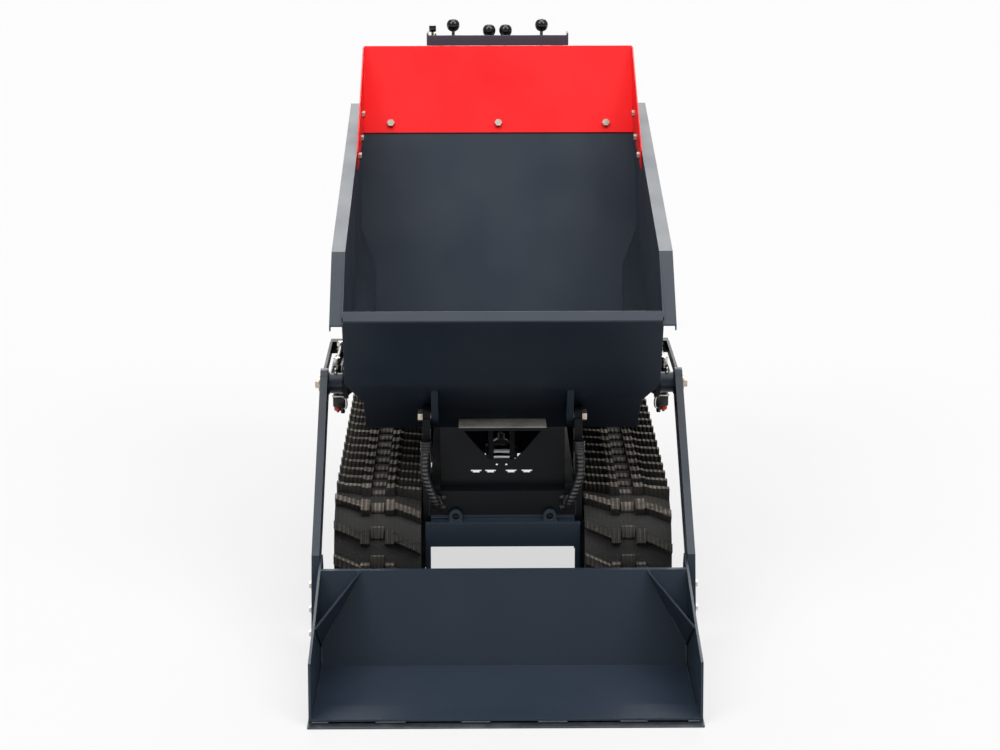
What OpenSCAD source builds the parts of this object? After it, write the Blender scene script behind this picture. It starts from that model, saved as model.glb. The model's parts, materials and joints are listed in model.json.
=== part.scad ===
// Self-loading tracked carrier: rubber tracks, tipping skip and a front shovel on lift arms.
// Millimetres, +Z up, the front faces -Y, the origin is at the bottom centre of the whole machine.

/* [Tracks] */
// Width of each rubber belt
track_w = 180; // [160:2:182]
// Height of the tread lugs
lug_h = 20; // [14:1:21]
// Radius of the bottom rollers
roller_r = 45; // [36:1:48]

/* [Skip] */
// Inner half width of the skip between its side walls
skip_half_w = 322; // [310:1:324]
// Sheet thickness of the skip
sheet = 3; // [2:0.5:4]
// Width of the folded rim flange
rim_w = 25; // [18:1:30]
// Top of the red spill guard above the ground
guard_top = 1102; // [1040:2:1130]

/* [Loader] */
// Thickness of each lift arm
arm_t = 16; // [12:1:20]
// Depth of each lift arm
arm_depth = 60; // [50:1:62]
// Thickness of the shovel side plates
shovel_side_t = 5; // [4:0.5:8]
// Radius of the lift cylinder barrels
lift_barrel_r = 20; // [17:0.5:20]

/* [Controls] */
// Radius of the ball knobs
knob_r = 16; // [12:0.5:17]
// Knob centre height of the two drive levers
drive_knob_z = 1136; // [1130:1:1150]
// Tube radius of the rear grab bar
grab_r = 12; // [9:0.5:14]

/* [Hidden] */
$fn = 48;

// Running clearance on a radius and the gap between bodies that pass each other
run = 0.05;
gap = 0.4;

// Track running gear
link_pitch = 60;
link_count = 40;
teeth = 12;
track_x = 260;
belt_in = 103;
belt_out = 125;
groove_r = 118.4;
groove_w = 40;
tooth_r = 117.4;
rim_r = belt_in - 0.3;
wheel_z = belt_out + lug_h;
idler_y = -287;
span = (link_count - teeth) / 2 * link_pitch;
sprocket_y = idler_y + span;
roller_ys = [-85, 130, 345];
roller_z = wheel_z - rim_r + roller_r;
wheel_half_w = min(60, track_w / 2 - 20);
beam_half_w = 20;
beam_top = 166;
idler_axle_r = 15;
drive_shaft_r = 20;
roller_shaft_r = 10;

// Chassis
rail_in = 130;
rail_out = 150;
rail_z0 = 190;
rail_z1 = 306;
rail_y0 = -346;
rail_y1 = 720;
deck_t = 6;
deck_z = rail_z1 + deck_t;
deck_half_w = 300;
deck_y0 = 410;
deck_y1 = 830;

// Skip side outline, outer faces, as [y, z]
hinge = [-300, 445];
skip_lip = [-428, 684];
skip_fold = [-346, 515];
skip_low = [-181, 386];
skip_rear = [318, 512];
skip_top = [586, 974];
rim_kink = [-302, 794];
rim_front = [-432, 669];
skip_out = skip_half_w + sheet;
rim_out = skip_out + rim_w;
hinge_pin_r = 10;
ear_x0 = 134;
ear_x1 = 148;

// Lower side walls stand in from the upper ones, with a slanted strip between them
step_in = 35;
step_rise = 68;
step_start = [-293, 473];
step_tilt = 12.6;

// Lift arms, as [y, z] on the arm plane
pivot = [-100, 464];
elbow = [-478, 188];
arm_foot = [-528, 32];
arm_in = 374;
arm_out = arm_in + arm_t;
arm_end_r = arm_depth / 2 + 2;
hub_r = 22;
stub_r = 15;
crank_len = 80;
crank_rest = 70;
crank_swing = 120;
crank_pin = pivot + crank_len * [sin(crank_rest), -cos(crank_rest)];
lift_base = [235, 432];
lift_x = 362;
lift_rod_r = 8;
lift_eye_r = 15;
frame_x0 = 331;
frame_x1 = 341;
cyl_pin_r = 8;

// Shovel, as [y, z]
lip_y = -920;
fold_y = -606;
back_top = [-547, 189];
side_kink = [-889, 120];
side_mid = [-756, 143];
shovel_in = arm_in - shovel_side_t;
floor_t = 6;
edge_top = 6;
floor_lap = 14;
edge_back = -850;

// Tipping cylinder, as [y, z]
tip_base = [250, 214];
tip_pin = [-130, 316];
tip_barrel_r = 28;
tip_rod_r = 16;
tip_eye_r = 18;
tip_eye_half = 17;
bracket_in = tip_eye_half + 1;
bracket_out = bracket_in + 10;

// Console
lever_y = 792;
lever_z = 1000;
lever_r = 5;
lever_eye_r = 8;
drive_lever_x = 108;
work_lever_x = 20;
work_knob_z = 1123;
panel_half_w = 172;
panel_y0 = lever_y - 50;
panel_y1 = lever_y + 58;
panel_z = 1092;
post_x = 145;
post_half = 15;
grab_y = 920 - grab_r;
grab_z = 985;
throttle = [-158, lever_y - 20, panel_z + 16];

// Engine, crankshaft along X
crank_y = 580;
crank_z = 420;
fan_x0 = -262;
fan_x1 = -150;

// Helpers
function unit(v) = v / norm(v);
function mix(a, b, t) = a + (b - a) * t;
function turn(v, a) = [v[0] * cos(a) - v[1] * sin(a), v[0] * sin(a) + v[1] * cos(a)];
function left_of(v) = [-v[1], v[0]];
function cross_at(p, d, q, e) =
    p + d * ((q - p) * left_of(e)) / (d * left_of(e));
function floor_z(y) =
    skip_low[1] + (y - skip_low[0]) * (skip_rear[1] - skip_low[1]) / (skip_rear[0] - skip_low[0]);
function wall_y(z) =
    skip_rear[0] + (z - skip_rear[1]) * (skip_top[0] - skip_rear[0]) / (skip_top[1] - skip_rear[1]);
function rim_z(y) =
    rim_kink[1] + (y - rim_kink[0]) * (skip_top[1] - rim_kink[1]) / (skip_top[0] - rim_kink[0]);

module box(x0, x1, y0, y1, z0, z1) {
    translate([x0, y0, z0]) cube([x1 - x0, y1 - y0, z1 - z0]);
}

module rod_x(x0, x1, p, r) {
    translate([x0, p[0], p[1]]) rotate([0, 90, 0]) cylinder(h = x1 - x0, r = r);
}

module hex_x(x0, x1, p, r) {
    translate([x0, p[0], p[1]]) rotate([0, 90, 0]) cylinder(h = x1 - x0, r = r, $fn = 6);
}

module plate_x(x0, x1, points) {
    translate([x0, 0, 0]) rotate([90, 0, 90]) linear_extrude(x1 - x0) polygon(points);
}

module rod_between(p, q, r) {
    d = q - p;
    translate(p)
        rotate([0, acos(d[2] / norm(d)), atan2(d[1], d[0])])
            cylinder(h = norm(d), r = r);
}

module both_sides() {
    children();
    mirror([1, 0, 0]) children();
}

// A strip between two points on a plane at constant X, with flat ends
module bar_x(x0, x1, p, q, half) {
    n = left_of(unit(q - p)) * half;
    plate_x(x0, x1, [p + n, p - n, q - n, q + n]);
}

// A round hose through a list of points, smoothed by a spline
function spline(p, i, t) =
    let (a = p[max(i - 1, 0)], b = p[i], c = p[i + 1], d = p[min(i + 2, len(p) - 1)])
    0.5 * (2 * b + (c - a) * t + (2 * a - 5 * b + 4 * c - d) * t * t
        + (3 * b - a - 3 * c + d) * t * t * t);

module hose(route, r, steps = 5, sides = 10) {
    path = concat(
        [for (i = [0 : len(route) - 2], k = [0 : steps - 1]) spline(route, i, k / steps)],
        [route[len(route) - 1]]);
    last = len(path) - 1;
    ends = len(route) - 1;
    tangents = concat(
        [unit(route[1] - route[0])],
        [for (i = [1 : last - 1]) unit(path[i + 1] - path[i - 1])],
        [unit(route[ends] - route[ends - 1])]);
    side = [for (t = tangents) unit(cross(t, abs(t[0]) > 0.9 ? [0, 1, 0] : [1, 0, 0]))];
    rings = [for (i = [0 : last], k = [0 : sides - 1])
        path[i] + r * (cos(360 * k / sides) * side[i]
            + sin(360 * k / sides) * cross(tangents[i], side[i]))];
    walls = [for (i = [0 : last - 1], k = [0 : sides - 1])
        let (m = (k + 1) % sides)
        [i * sides + k, (i + 1) * sides + k, (i + 1) * sides + m, i * sides + m]];
    polyhedron(rings, concat(
        [[for (k = [0 : sides - 1]) k]],
        walls,
        [[for (k = [sides - 1 : -1 : 0]) last * sides + k]]));
}

// Tracks
belt_section = [
    [belt_in, -track_w / 2], [belt_out, -track_w / 2],
    [belt_out, track_w / 2], [belt_in, track_w / 2],
    [belt_in, groove_w / 2], [groove_r, groove_w / 2],
    [groove_r, -groove_w / 2], [belt_in, -groove_w / 2]];

// One half of a tread row: a slanted bar that ends in a block beside the centre line
lug_edge = track_w / 2;
lug_half = 8.5;
lug_slope = -0.445;
block_x0 = 16;
block_x1 = 35;
block_half = 15.5;
function bar_s(x) = (x - 30) * lug_slope;
lug_plan = [
    [lug_edge, bar_s(lug_edge) + lug_half], [lug_edge, bar_s(lug_edge) - lug_half],
    [block_x1, bar_s(block_x1) - lug_half], [block_x1, -block_half],
    [block_x0, -block_half], [block_x0, block_half],
    [block_x1, block_half], [block_x1, bar_s(block_x1) + lug_half]];

module tread_row() {
    for (side = [0, 180])
        rotate([0, 0, side])
            translate([0, 0, belt_out - 5])
                linear_extrude(lug_h + 5) polygon(lug_plan);
}

module half_ring() {
    rotate([0, 90, 0]) rotate_extrude(angle = 180) polygon(belt_section);
}

module flat_run() {
    translate([0, span / 2, 0])
        rotate([90, 0, 0])
            linear_extrude(span) polygon([for (p = belt_section) [p[1], p[0]]]);
}

module track() {
    middle = (idler_y + sprocket_y) / 2;
    translate([0, sprocket_y, wheel_z]) half_ring();
    translate([0, idler_y, wheel_z]) rotate([180, 0, 0]) half_ring();
    for (flip = [0, 180])
        translate([0, middle, wheel_z])
            rotate([0, flip, 0]) {
                flat_run();
                for (i = [0 : span / link_pitch])
                    translate([0, i * link_pitch - span / 2, 0]) tread_row();
            }
    for (wheel = [[idler_y, 1], [sprocket_y, -1]])
        intersection() {
            rod_x(-track_w, track_w, [wheel[0], wheel_z], belt_out + lug_h);
            for (k = [1 : teeth / 2 - 1])
                translate([0, wheel[0], wheel_z])
                    rotate([wheel[1] * k * 360 / teeth, 0, 0]) tread_row();
        }
}

module track_left() { color("#4a4540") translate([-track_x, 0, 0]) track(); }
module track_right() { color("#4a4540") translate([track_x, 0, 0]) track(); }

// Wheels, each about its own axis along X
module drum(bore, hub, web0, web1) {
    rotate([0, 90, 0]) {
        rotate_extrude()
            polygon([
                [84, -wheel_half_w], [rim_r, -wheel_half_w], [rim_r, -22], [96, -22],
                [96, 22], [rim_r, 22], [rim_r, wheel_half_w], [84, wheel_half_w]]);
        difference() {
            rotate_extrude() translate([bore, web0]) square([88 - bore, web1 - web0]);
            for (k = [0 : 5])
                rotate([0, 0, k * 60]) translate([65, 0, web0 - 1]) cylinder(h = web1 - web0 + 2, r = 11);
        }
        rotate_extrude() translate([bore, -20]) square([hub - bore, web1 + 20]);
    }
}

module sprocket() {
    drum(drive_shaft_r + run, 44, 4, 16);
    for (k = [0 : teeth - 1])
        rotate([k * 360 / teeth, 0, 0])
            plate_x(-17, 17, [
                [-15, 92], [15, 92], [13, 100], [7, tooth_r - 1.5],
                [5, tooth_r - 0.3], [-5, tooth_r - 0.3], [-7, tooth_r - 1.5], [-13, 100]]);
}

module sprocket_left() {
    color("#3a3d40") translate([-track_x, sprocket_y, wheel_z]) mirror([1, 0, 0]) sprocket();
}
module sprocket_right() { color("#3a3d40") translate([track_x, sprocket_y, wheel_z]) sprocket(); }

module idler() { drum(idler_axle_r + run, 36, -8, 8); }
module idler_left() { color("#3a3d40") translate([-track_x, idler_y, wheel_z]) mirror([1, 0, 0]) idler(); }
module idler_right() { color("#3a3d40") translate([track_x, idler_y, wheel_z]) idler(); }

module roller() {
    rod_x(-wheel_half_w, wheel_half_w, [0, 0], roller_shaft_r);
    both_sides() {
        rod_x(beam_half_w + 3, wheel_half_w - 4, [0, 0], roller_r);
        rod_x(beam_half_w + 1, wheel_half_w - 1, [0, 0], 17);
    }
}

module roller_at(side, i) {
    color("#2c2e30") translate([side * track_x, roller_ys[i], roller_z]) roller();
}
module roller_left_1() { roller_at(-1, 0); }
module roller_left_2() { roller_at(-1, 1); }
module roller_left_3() { roller_at(-1, 2); }
module roller_right_1() { roller_at(1, 0); }
module roller_right_2() { roller_at(1, 1); }
module roller_right_3() { roller_at(1, 2); }

// Beam inside the belt, with roller bores, idler fork, axle and the tubes to the chassis
module track_beam() {
    difference() {
        box(-beam_half_w, beam_half_w, -168, 425, 68, beam_top);
        for (y = roller_ys)
            rod_x(-50, 50, [y, roller_z], roller_shaft_r + run);
    }
    box(-wheel_half_w - 14, wheel_half_w + 14, -168, -144, 138, beam_top);
    both_sides()
        difference() {
            union() {
                box(wheel_half_w + 4, wheel_half_w + 14, idler_y, -144, 126, beam_top);
                rod_x(wheel_half_w + 4, wheel_half_w + 14, [idler_y, wheel_z], 30);
            }
            rod_x(0, 200, [idler_y, wheel_z], idler_axle_r - 0.01);
        }
    rod_x(-wheel_half_w - 18, wheel_half_w + 18, [idler_y, wheel_z], idler_axle_r);
    for (y = [20, 240])
        box(rail_out - track_x, -beam_half_w, y - 25, y + 25, rail_z0 - 68, rail_z0 - 24);
    for (y = [20, 240])
        box(rail_out - track_x - 20, rail_out - track_x, y - 25, y + 25, rail_z0 - 68, rail_z0);
}

module track_beam_right() { color("#30343a") translate([track_x, 0, 0]) track_beam(); }
module track_beam_left() { color("#30343a") mirror([1, 0, 0]) translate([track_x, 0, 0]) track_beam(); }

// Hydraulic wheel motors on the rails, with the shafts that carry the sprockets
module final_drives() {
    axis = [sprocket_y, wheel_z];
    color("#26282b")
        both_sides() {
            rod_x(rail_out, track_x - 24, axis, 50);
            rod_x(rail_out - 40, rail_out, axis, 44);
            box(rail_in, rail_out, sprocket_y - 60, sprocket_y + 60, wheel_z - 60, rail_z0);
            rod_x(track_x - 24, track_x + 17, axis, drive_shaft_r);
            rod_x(track_x + 17, track_x + 24, axis, 30);
            hex_x(track_x + 24, track_x + 36, axis, 18);
        }
}

// Chassis
module chassis_rails() {
    color("#383e42")
        both_sides() {
            difference() {
                box(rail_in, rail_out, rail_y0, rail_y1, rail_z0, rail_z1);
                for (y = [-180, -40, 100])
                    rod_x(rail_in - 1, rail_out + 1, [y, 250], 26);
            }
            difference() {
                union() {
                    plate_x(rail_out, 166, [
                        [rail_y0, 220], [-240, 220], [-270, hinge[1]], [hinge[0] - 30, hinge[1]],
                        [rail_y0, 320]]);
                    rod_x(rail_out, 166, hinge, 22);
                }
                rod_x(100, 200, hinge, hinge_pin_r + run);
            }
        }
}

// Cross members: tip cylinder base, rear plate and the posts under the skip
rest_y0 = 296;
rest_y1 = 336;
rest_drop = 26;
module cross_members() {
    color("#383e42") {
        difference() {
            union() {
                box(-rail_in, rail_in, 274, 310, 196, 250);
                both_sides()
                    bar_x(bracket_in, bracket_out, tip_base, [290, 226], 18);
                both_sides()
                    rod_x(bracket_in, bracket_out, tip_base, 22);
            }
            rod_x(-60, 60, tip_base, cyl_pin_r + run);
        }
        box(-rail_in, rail_in, 700, 712, 210, rail_z1);
        both_sides()
            plate_x(94, rail_in, [
                [rest_y0, rail_z1 - 60], [rest_y1, rail_z1 - 60],
                [rest_y1, floor_z(rest_y1) - rest_drop], [rest_y0, floor_z(rest_y0) - rest_drop]]);
        box(-94, 94, 306, 326, floor_z(306) - 80, floor_z(306) - 50);
    }
}

// Rubber buffers that the skip floor comes down on
module rest_pads() {
    y = (rest_y0 + rest_y1) / 2;
    slope = atan2(skip_rear[1] - skip_low[1], skip_rear[0] - skip_low[0]);
    color("#1c1c1c")
        both_sides()
            translate([112, y, floor_z(y) - rest_drop])
                rotate([slope, 0, 0]) cylinder(h = rest_drop * cos(slope) - gap, r = 15);
}

// Front plate with its notch, slots and holes
plate_y = -316;
module front_plate() {
    slots = [-55, -25, 18, 51];
    color("#383e42") {
        difference() {
            box(-rail_in, rail_in, plate_y, plate_y + 6, 290, 424);
            translate([0, plate_y + 10, 0])
                rotate([90, 0, 0])
                    linear_extrude(20) polygon([
                        [-92, 430], [92, 430], [50, 378], [27, 354], [-27, 354], [-50, 378]]);
            for (x = slots)
                translate([x, plate_y + 10, 328])
                    rotate([90, 0, 0])
                        linear_extrude(20) {
                            translate([-11, -1]) square([22, 4]);
                            translate([-7, -4]) square([14, 4]);
                        }
            for (x = [-12, 8])
                translate([x, plate_y + 10, 342]) rotate([90, 0, 0]) cylinder(h = 20, r = 2.5);
        }
        box(-rail_in, rail_in, rail_y0, plate_y, 290, 296);
        box(-rail_out, rail_out, rail_y0 - 6, rail_y0, 244, 296);
        box(-92, 92, rail_y0, plate_y + 38, 424, 430);
    }
}

// Lower cross beam with two tie-down eyes on top
eye_x = 98;
eye_z = 246;
eye_r = 14;
eye_hole_r = 7;
eye_y0 = -372;
eye_y1 = -360;
module front_beam() {
    color("#454c52") {
        box(-rail_out, rail_out, -382, -352, 184, 236);
        box(-rail_out, rail_out, -352, rail_y0, 190, 244);
        both_sides()
            box(rail_out, rail_out + 11, -382, -370, 118, 236);
        both_sides()
            difference() {
                union() {
                    box(eye_x - eye_r, eye_x + eye_r, eye_y0, eye_y1, 236, eye_z);
                    translate([eye_x, eye_y1, eye_z])
                        rotate([90, 0, 0]) cylinder(h = eye_y1 - eye_y0, r = eye_r);
                }
                translate([eye_x, 0, eye_z]) rotate([90, 0, 0]) cylinder(h = 800, r = eye_hole_r);
            }
    }
}

// Lift frame: outriggers over the belt, side plate, pivot stub, base lug and the guard rail
module lift_frame() {
    difference() {
        union() {
            plate_x(frame_x0, frame_x1, [
                pivot + [-34, -20], [0, 414], [120, 388], [296, 344], [420, deck_z],
                [826, deck_z], [826, deck_z + 34], [440, deck_z + 34], [330, 440], [300, 468],
                [200, 468], pivot + [40, 6], pivot + [-34, 6]]);
            rod_x(frame_x0, frame_x1, pivot, 34);
        }
        rod_x(frame_x0 - 1, frame_x1 + 1, lift_base, cyl_pin_r + run);
        rod_x(frame_x0 - 1, frame_x1 + 1, [110, 428], 16);
    }
    box(rail_in, frame_x0, 412, 436, deck_z, deck_z + 34);
    box(post_x + 33, frame_x0, 806, 826, deck_z, deck_z + 34);
    rod_x(frame_x1, arm_out + 0.5, pivot, stub_r);
    rod_x(frame_x1, frame_x1 + 1.6, pivot, hub_r);
    box(frame_x1, 390, 266, 296, 440, 468);
    box(385, 391, -54, 266, 446, 468);
}

module lift_frame_right() { color("#383e42") lift_frame(); }
module lift_frame_left() { color("#383e42") mirror([1, 0, 0]) lift_frame(); }

// Zinc pins and bolts of the pivots that stay with the chassis
module pivot_pins() {
    color("#b9bcc0") {
        both_sides() {
            rod_x(ear_x0, 166, hinge, hinge_pin_r);
            hex_x(166, 176, hinge, 13);
            rod_x(arm_out + 0.5, arm_out + 4, pivot, 18);
            hex_x(arm_out + 4, arm_out + 12, pivot, 11);
            rod_x(frame_x0, 372, lift_base, cyl_pin_r);
            rod_x(frame_x0 - 4, frame_x0, lift_base, 12);
        }
        rod_x(-bracket_out, bracket_out, tip_base, cyl_pin_r);
        both_sides() rod_x(bracket_out, bracket_out + 5, tip_base, 13);
    }
}

// Skip
module along_rim(x0, x1, depth) {
    down = [0, -depth];
    plate_x(x0, x1, [
        rim_front, rim_kink, skip_top, skip_top + down, rim_kink + down, rim_front + down]);
}

module step_prism(shift) {
    slant = unit([step_in, step_rise]);
    start = [skip_half_w - step_in, 0] + shift * [slant[1], -slant[0]];
    at_low = start + slant * ((skip_half_w - step_in + shift - start[0]) / slant[0]);
    at_top = start + slant * ((skip_half_w + 60 - start[0]) / slant[0]);
    translate([0, step_start[0], step_start[1]])
        rotate([step_tilt, 0, 0])
            translate([0, 1400, 0])
                rotate([90, 0, 0])
                    linear_extrude(2400)
                        polygon([[at_low[0], -600], [skip_half_w + 60, -600], at_top, at_low]);
}

module skip_form(shift, half, outline) {
    difference() {
        plate_x(-half, half, outline);
        both_sides() step_prism(shift);
    }
}

function inset(a, b, c, t) =
    let (m = left_of(unit(b - a)), n = left_of(unit(c - b)))
    b + (m + n) * t / (1 + m * n);

module skip_tub() {
    fold_in = inset(skip_lip, skip_fold, skip_low, sheet);
    low_in = inset(skip_fold, skip_low, skip_rear, sheet);
    rear_in = inset(skip_low, skip_rear, skip_top, sheet);
    above_lip = fold_in + (skip_lip - skip_fold) * 2.5;
    above_top = rear_in + (skip_top - skip_rear) * 2;
    color("#383e42") {
        difference() {
            skip_form(sheet, skip_out, [
                skip_lip, skip_fold, skip_low, skip_rear, skip_top, rim_kink,
                skip_lip + [4, 4]]);
            skip_form(0, skip_half_w, [above_lip, fold_in, low_in, rear_in, above_top]);
        }
        both_sides() {
            along_rim(skip_out - sheet, rim_out, sheet);
            along_rim(rim_out - sheet, rim_out, 12);
        }
        plate_x(-skip_half_w, skip_half_w, [
            skip_lip + [-13, -7], skip_lip + [3, -7], skip_lip + [3, 12], skip_lip + [1, 12],
            skip_lip + [-13, -4]]);
        plate_x(-skip_out, skip_out, [
            skip_top + [-sheet / 2, 0], skip_top + [-4.2 - sheet / 2, -7.2],
            skip_top + [12, -12], skip_top + [14, 0]]);
    }
}

// Ribs, hinge ears and the lug plates for the tipping cylinder
module skip_subframe() {
    panel = function(t) mix(skip_fold, skip_low, t);
    base = function(t) mix(skip_low, skip_rear, t);
    color("#30353a") {
        both_sides()
            difference() {
                union() {
                    plate_x(ear_x0, ear_x1, [
                        panel(0.05), hinge + [-18, -4], hinge + [14, -14], panel(0.62)]);
                    rod_x(ear_x0, ear_x1, hinge, 18);
                }
                rod_x(ear_x0 - 1, ear_x1 + 1, hinge, hinge_pin_r + run);
            }
        both_sides() {
            plate_x(bracket_in, bracket_out, [
                base(0.02), tip_pin + [-22, -8], tip_pin + [-8, -22], tip_pin + [14, -16],
                tip_pin + [24, 10], base(0.42)]);
            rod_x(bracket_out, bracket_out + 6, tip_pin, 13);
            plate_x(200, 206, [
                base(0.01), base(0.1) + [0, -26], base(0.86) + [0, -26], base(0.95)]);
        }
    }
}

// Red spill guard inside the top of the rear wall, with a sloping wing along each side
guard_t = 3;
guard_lap = guard_t * norm(skip_top - skip_rear) / (skip_top[1] - skip_rear[1]);
guard_foot = 910;
wing_front = 252;
function guard_y(z) = wall_y(z) - sheet * norm(skip_top - skip_rear) / (skip_top[1] - skip_rear[1]);
module spill_guard() {
    top_y = guard_y(guard_top);
    foot_y = guard_y(guard_foot);
    color("#e2202a") {
        plate_x(-skip_half_w, skip_half_w, [
            [foot_y, guard_foot], [top_y, guard_top], [top_y - guard_lap, guard_top],
            [foot_y - guard_lap, guard_foot]]);
        both_sides()
            plate_x(skip_half_w - guard_t, skip_half_w, [
                [top_y, guard_top], [top_y - 40, guard_top],
                [wing_front, rim_z(wing_front) + 6], [wing_front, rim_z(wing_front) - 36],
                [foot_y - 6, guard_foot + 2]]);
    }
}

// Zinc hex heads that hold the guard
module guard_bolts() {
    z = 930;
    lean = atan2(skip_top[0] - skip_rear[0], skip_top[1] - skip_rear[1]);
    wing_spots = [[300, 894], [420, 916], [500, 960]];
    color("#c4c6c8") {
        for (x = [-255, 0, 255])
            translate([x, guard_y(z) - guard_lap, z])
                rotate([90 - lean, 0, 0]) cylinder(h = 7, r = 9, $fn = 6);
        both_sides()
            for (p = wing_spots)
                hex_x(skip_half_w - guard_t - 6, skip_half_w - guard_t, p, 8);
    }
}

// Loader
arm_dir = unit(elbow - pivot);
foot_dir = unit(arm_foot - elbow);
module lift_arm() {
    h = arm_depth / 2;
    n = left_of(arm_dir) * h;
    m = left_of(foot_dir) * h;
    outer = cross_at(pivot - n, arm_dir, arm_foot - m, foot_dir);
    inner = cross_at(pivot + n, arm_dir, arm_foot + m, foot_dir);
    difference() {
        union() {
            plate_x(arm_in, arm_out, [
                pivot - n, outer, arm_foot - m, arm_foot + m, inner, pivot + n]);
            rod_x(arm_in, arm_out, pivot, arm_end_r);
            rod_x(frame_x1 + 2, arm_in, pivot, hub_r);
            bar_x(frame_x1 + 2.5, lift_x - 8.5, pivot, crank_pin, 17);
            rod_x(frame_x1 + 2.5, lift_x - 8.5, crank_pin, 17);
            rod_x(frame_x1 + 0.7, frame_x1 + 2.5, crank_pin, 11);
        }
        rod_x(frame_x1 - 5, arm_out + 5, pivot, stub_r + run);
    }
}

module lift_arm_right() { color("#40474c") lift_arm(); }
module lift_arm_left() { color("#40474c") mirror([1, 0, 0]) lift_arm(); }

// Slanted corner plates that guide the load off the shovel
module funnel_plate() {
    a = [290, back_top[0] + 2, back_top[1]];
    b = [shovel_in + 2, fold_y + 15, 46];
    c = [shovel_in + 2, side_mid[0], side_mid[1] - 2];
    n = unit(cross(b - a, c - a)) * 4;
    polyhedron([a, b, c, a + n, b + n, c + n], [
        [0, 1, 2], [5, 4, 3], [0, 3, 4, 1], [1, 4, 5, 2], [2, 5, 3, 0]]);
}

module shovel() {
    color("#40474c") {
        box(-shovel_in, shovel_in, edge_back, fold_y + 6, 0, floor_t);
        plate_x(-shovel_in, shovel_in, [
            [lip_y + 15, edge_top + 3.5], [lip_y + 15, floor_lap], [edge_back + 16, floor_lap],
            [edge_back + 24, floor_t], [edge_back, floor_t], [edge_back, edge_top + 3.5]]);
        plate_x(-shovel_in, shovel_in, [
            [fold_y, 0], [fold_y + 6, 0], back_top + [6, 0], back_top]);
        both_sides() {
            plate_x(shovel_in, arm_in, [
                [edge_back - 52, edge_top], side_kink, side_mid, [-560, 186], [-470, 198],
                [-456, 170], [-504, 14], [-560, 0], [edge_back, 0], [edge_back, edge_top]]);
            funnel_plate();
        }
        plate_x(-shovel_in, shovel_in, [
            back_top + [3, 0], back_top + [12, 0], back_top + [12, -5], back_top + [3, -5]]);
    }
}

module cutting_edge() {
    color("#5d656b")
        plate_x(-arm_in - 2, arm_in + 2, [
            [lip_y, 0], [edge_back, 0], [edge_back, edge_top], [lip_y + 12, edge_top],
            [lip_y, 3]]);
}

// Bolts from the arms into the shovel sides
module shovel_bolts() {
    color("#b9bcc0")
        both_sides()
            for (t = [0.3, 0.6, 0.9]) {
                p = mix(elbow, arm_foot, t);
                rod_x(arm_out, arm_out + 2, p, 11);
                hex_x(arm_out + 2, arm_out + 6, p, 8);
            }
}

// Hydraulic cylinders
module cylinder_barrel(length, r, bore, eye_r, eye_half, neck, ports, port_side) {
    pin_r = cyl_pin_r;
    difference() {
        union() {
            translate([0, 0, neck]) cylinder(h = length - neck, r = r);
            rotate([0, 90, 0]) cylinder(h = 2 * eye_half, r = eye_r, center = true);
            translate([-eye_half, -0.7 * eye_r, 0]) cube([2 * eye_half, 1.4 * eye_r, neck]);
            for (z = ports)
                translate([0, 0, z]) rotate([port_side * 90, 0, 0]) cylinder(h = r + 12, r = 8);
        }
        translate([0, 0, neck + 6]) cylinder(h = length, r = bore + run);
        rotate([0, 90, 0]) cylinder(h = 4 * eye_half, r = pin_r + run, center = true);
    }
}

module cylinder_rod(length, r, start, eye_r, eye_half) {
    translate([0, 0, start]) cylinder(h = length - start, r = r);
    translate([0, 0, length]) rotate([0, 90, 0]) cylinder(h = 2 * eye_half, r = eye_r, center = true);
}

// Places a cylinder at its base point, with its own Z toward the rod end
module aim(x, base, tip) {
    d = tip - base;
    translate([x, base[0], base[1]]) rotate([-atan2(d[0], d[1]), 0, 0]) children();
}

lift_len = norm(crank_pin - lift_base);
tip_len = norm(tip_pin - tip_base);
module lift_barrels() {
    color("#1e1f21")
        both_sides()
            aim(lift_x, lift_base, crank_pin) {
                cylinder_barrel(
                    lift_len - 40, lift_barrel_r, lift_rod_r, 16, 7.5, 20,
                    [46, lift_len - 63], -1);
            }
}

module lift_rods() {
    color("#c9ccd0")
        both_sides()
            aim(lift_x, lift_base, crank_pin)
                cylinder_rod(lift_len, lift_rod_r, 34, lift_eye_r, 7.5);
}

module tip_barrel() {
    color("#1e1f21")
        aim(0, tip_base, tip_pin) {
            cylinder_barrel(
                tip_len - 50, tip_barrel_r, tip_rod_r, 20, tip_eye_half, 30,
                [60, tip_len - 80], -1);
        }
}

module tip_rod() {
    color("#c9ccd0")
        aim(0, tip_base, tip_pin)
            cylinder_rod(tip_len, tip_rod_r, 44, tip_eye_r, tip_eye_half);
}

// Rear deck and power unit
module engine_deck() {
    color("#383e42")
        difference() {
            box(-deck_half_w, deck_half_w, deck_y0, deck_y1, rail_z1, deck_z);
            for (x = [-90, -10, 70])
                translate([x, 640, rail_z1 - 1]) cylinder(h = 10, r = 16);
        }
}

module engine_block() {
    color("#8c9094") {
        box(-150, 40, crank_y - 95, crank_y + 95, deck_z + 14, 470);
        both_sides() translate([-55, 0, 0]) box(70, 100, crank_y - 110, crank_y + 110, deck_z, deck_z + 14);
        box(-120, 10, crank_y - 70, crank_y + 60, 470, 480);
        for (k = [0 : 6])
            box(-128 + k, 18 - k, crank_y - 78, crank_y + 68, 480 + k * 11, 485 + k * 11);
        box(-100, -10, crank_y - 50, crank_y + 40, 480, 556);
        rod_x(40, 52, [crank_y, crank_z], 46);
        rod_x(-176, -150, [crank_y, crank_z], 60);
        box(-10, 30, crank_y - 34, crank_y + 14, 500, 540);
    }
}

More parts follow.
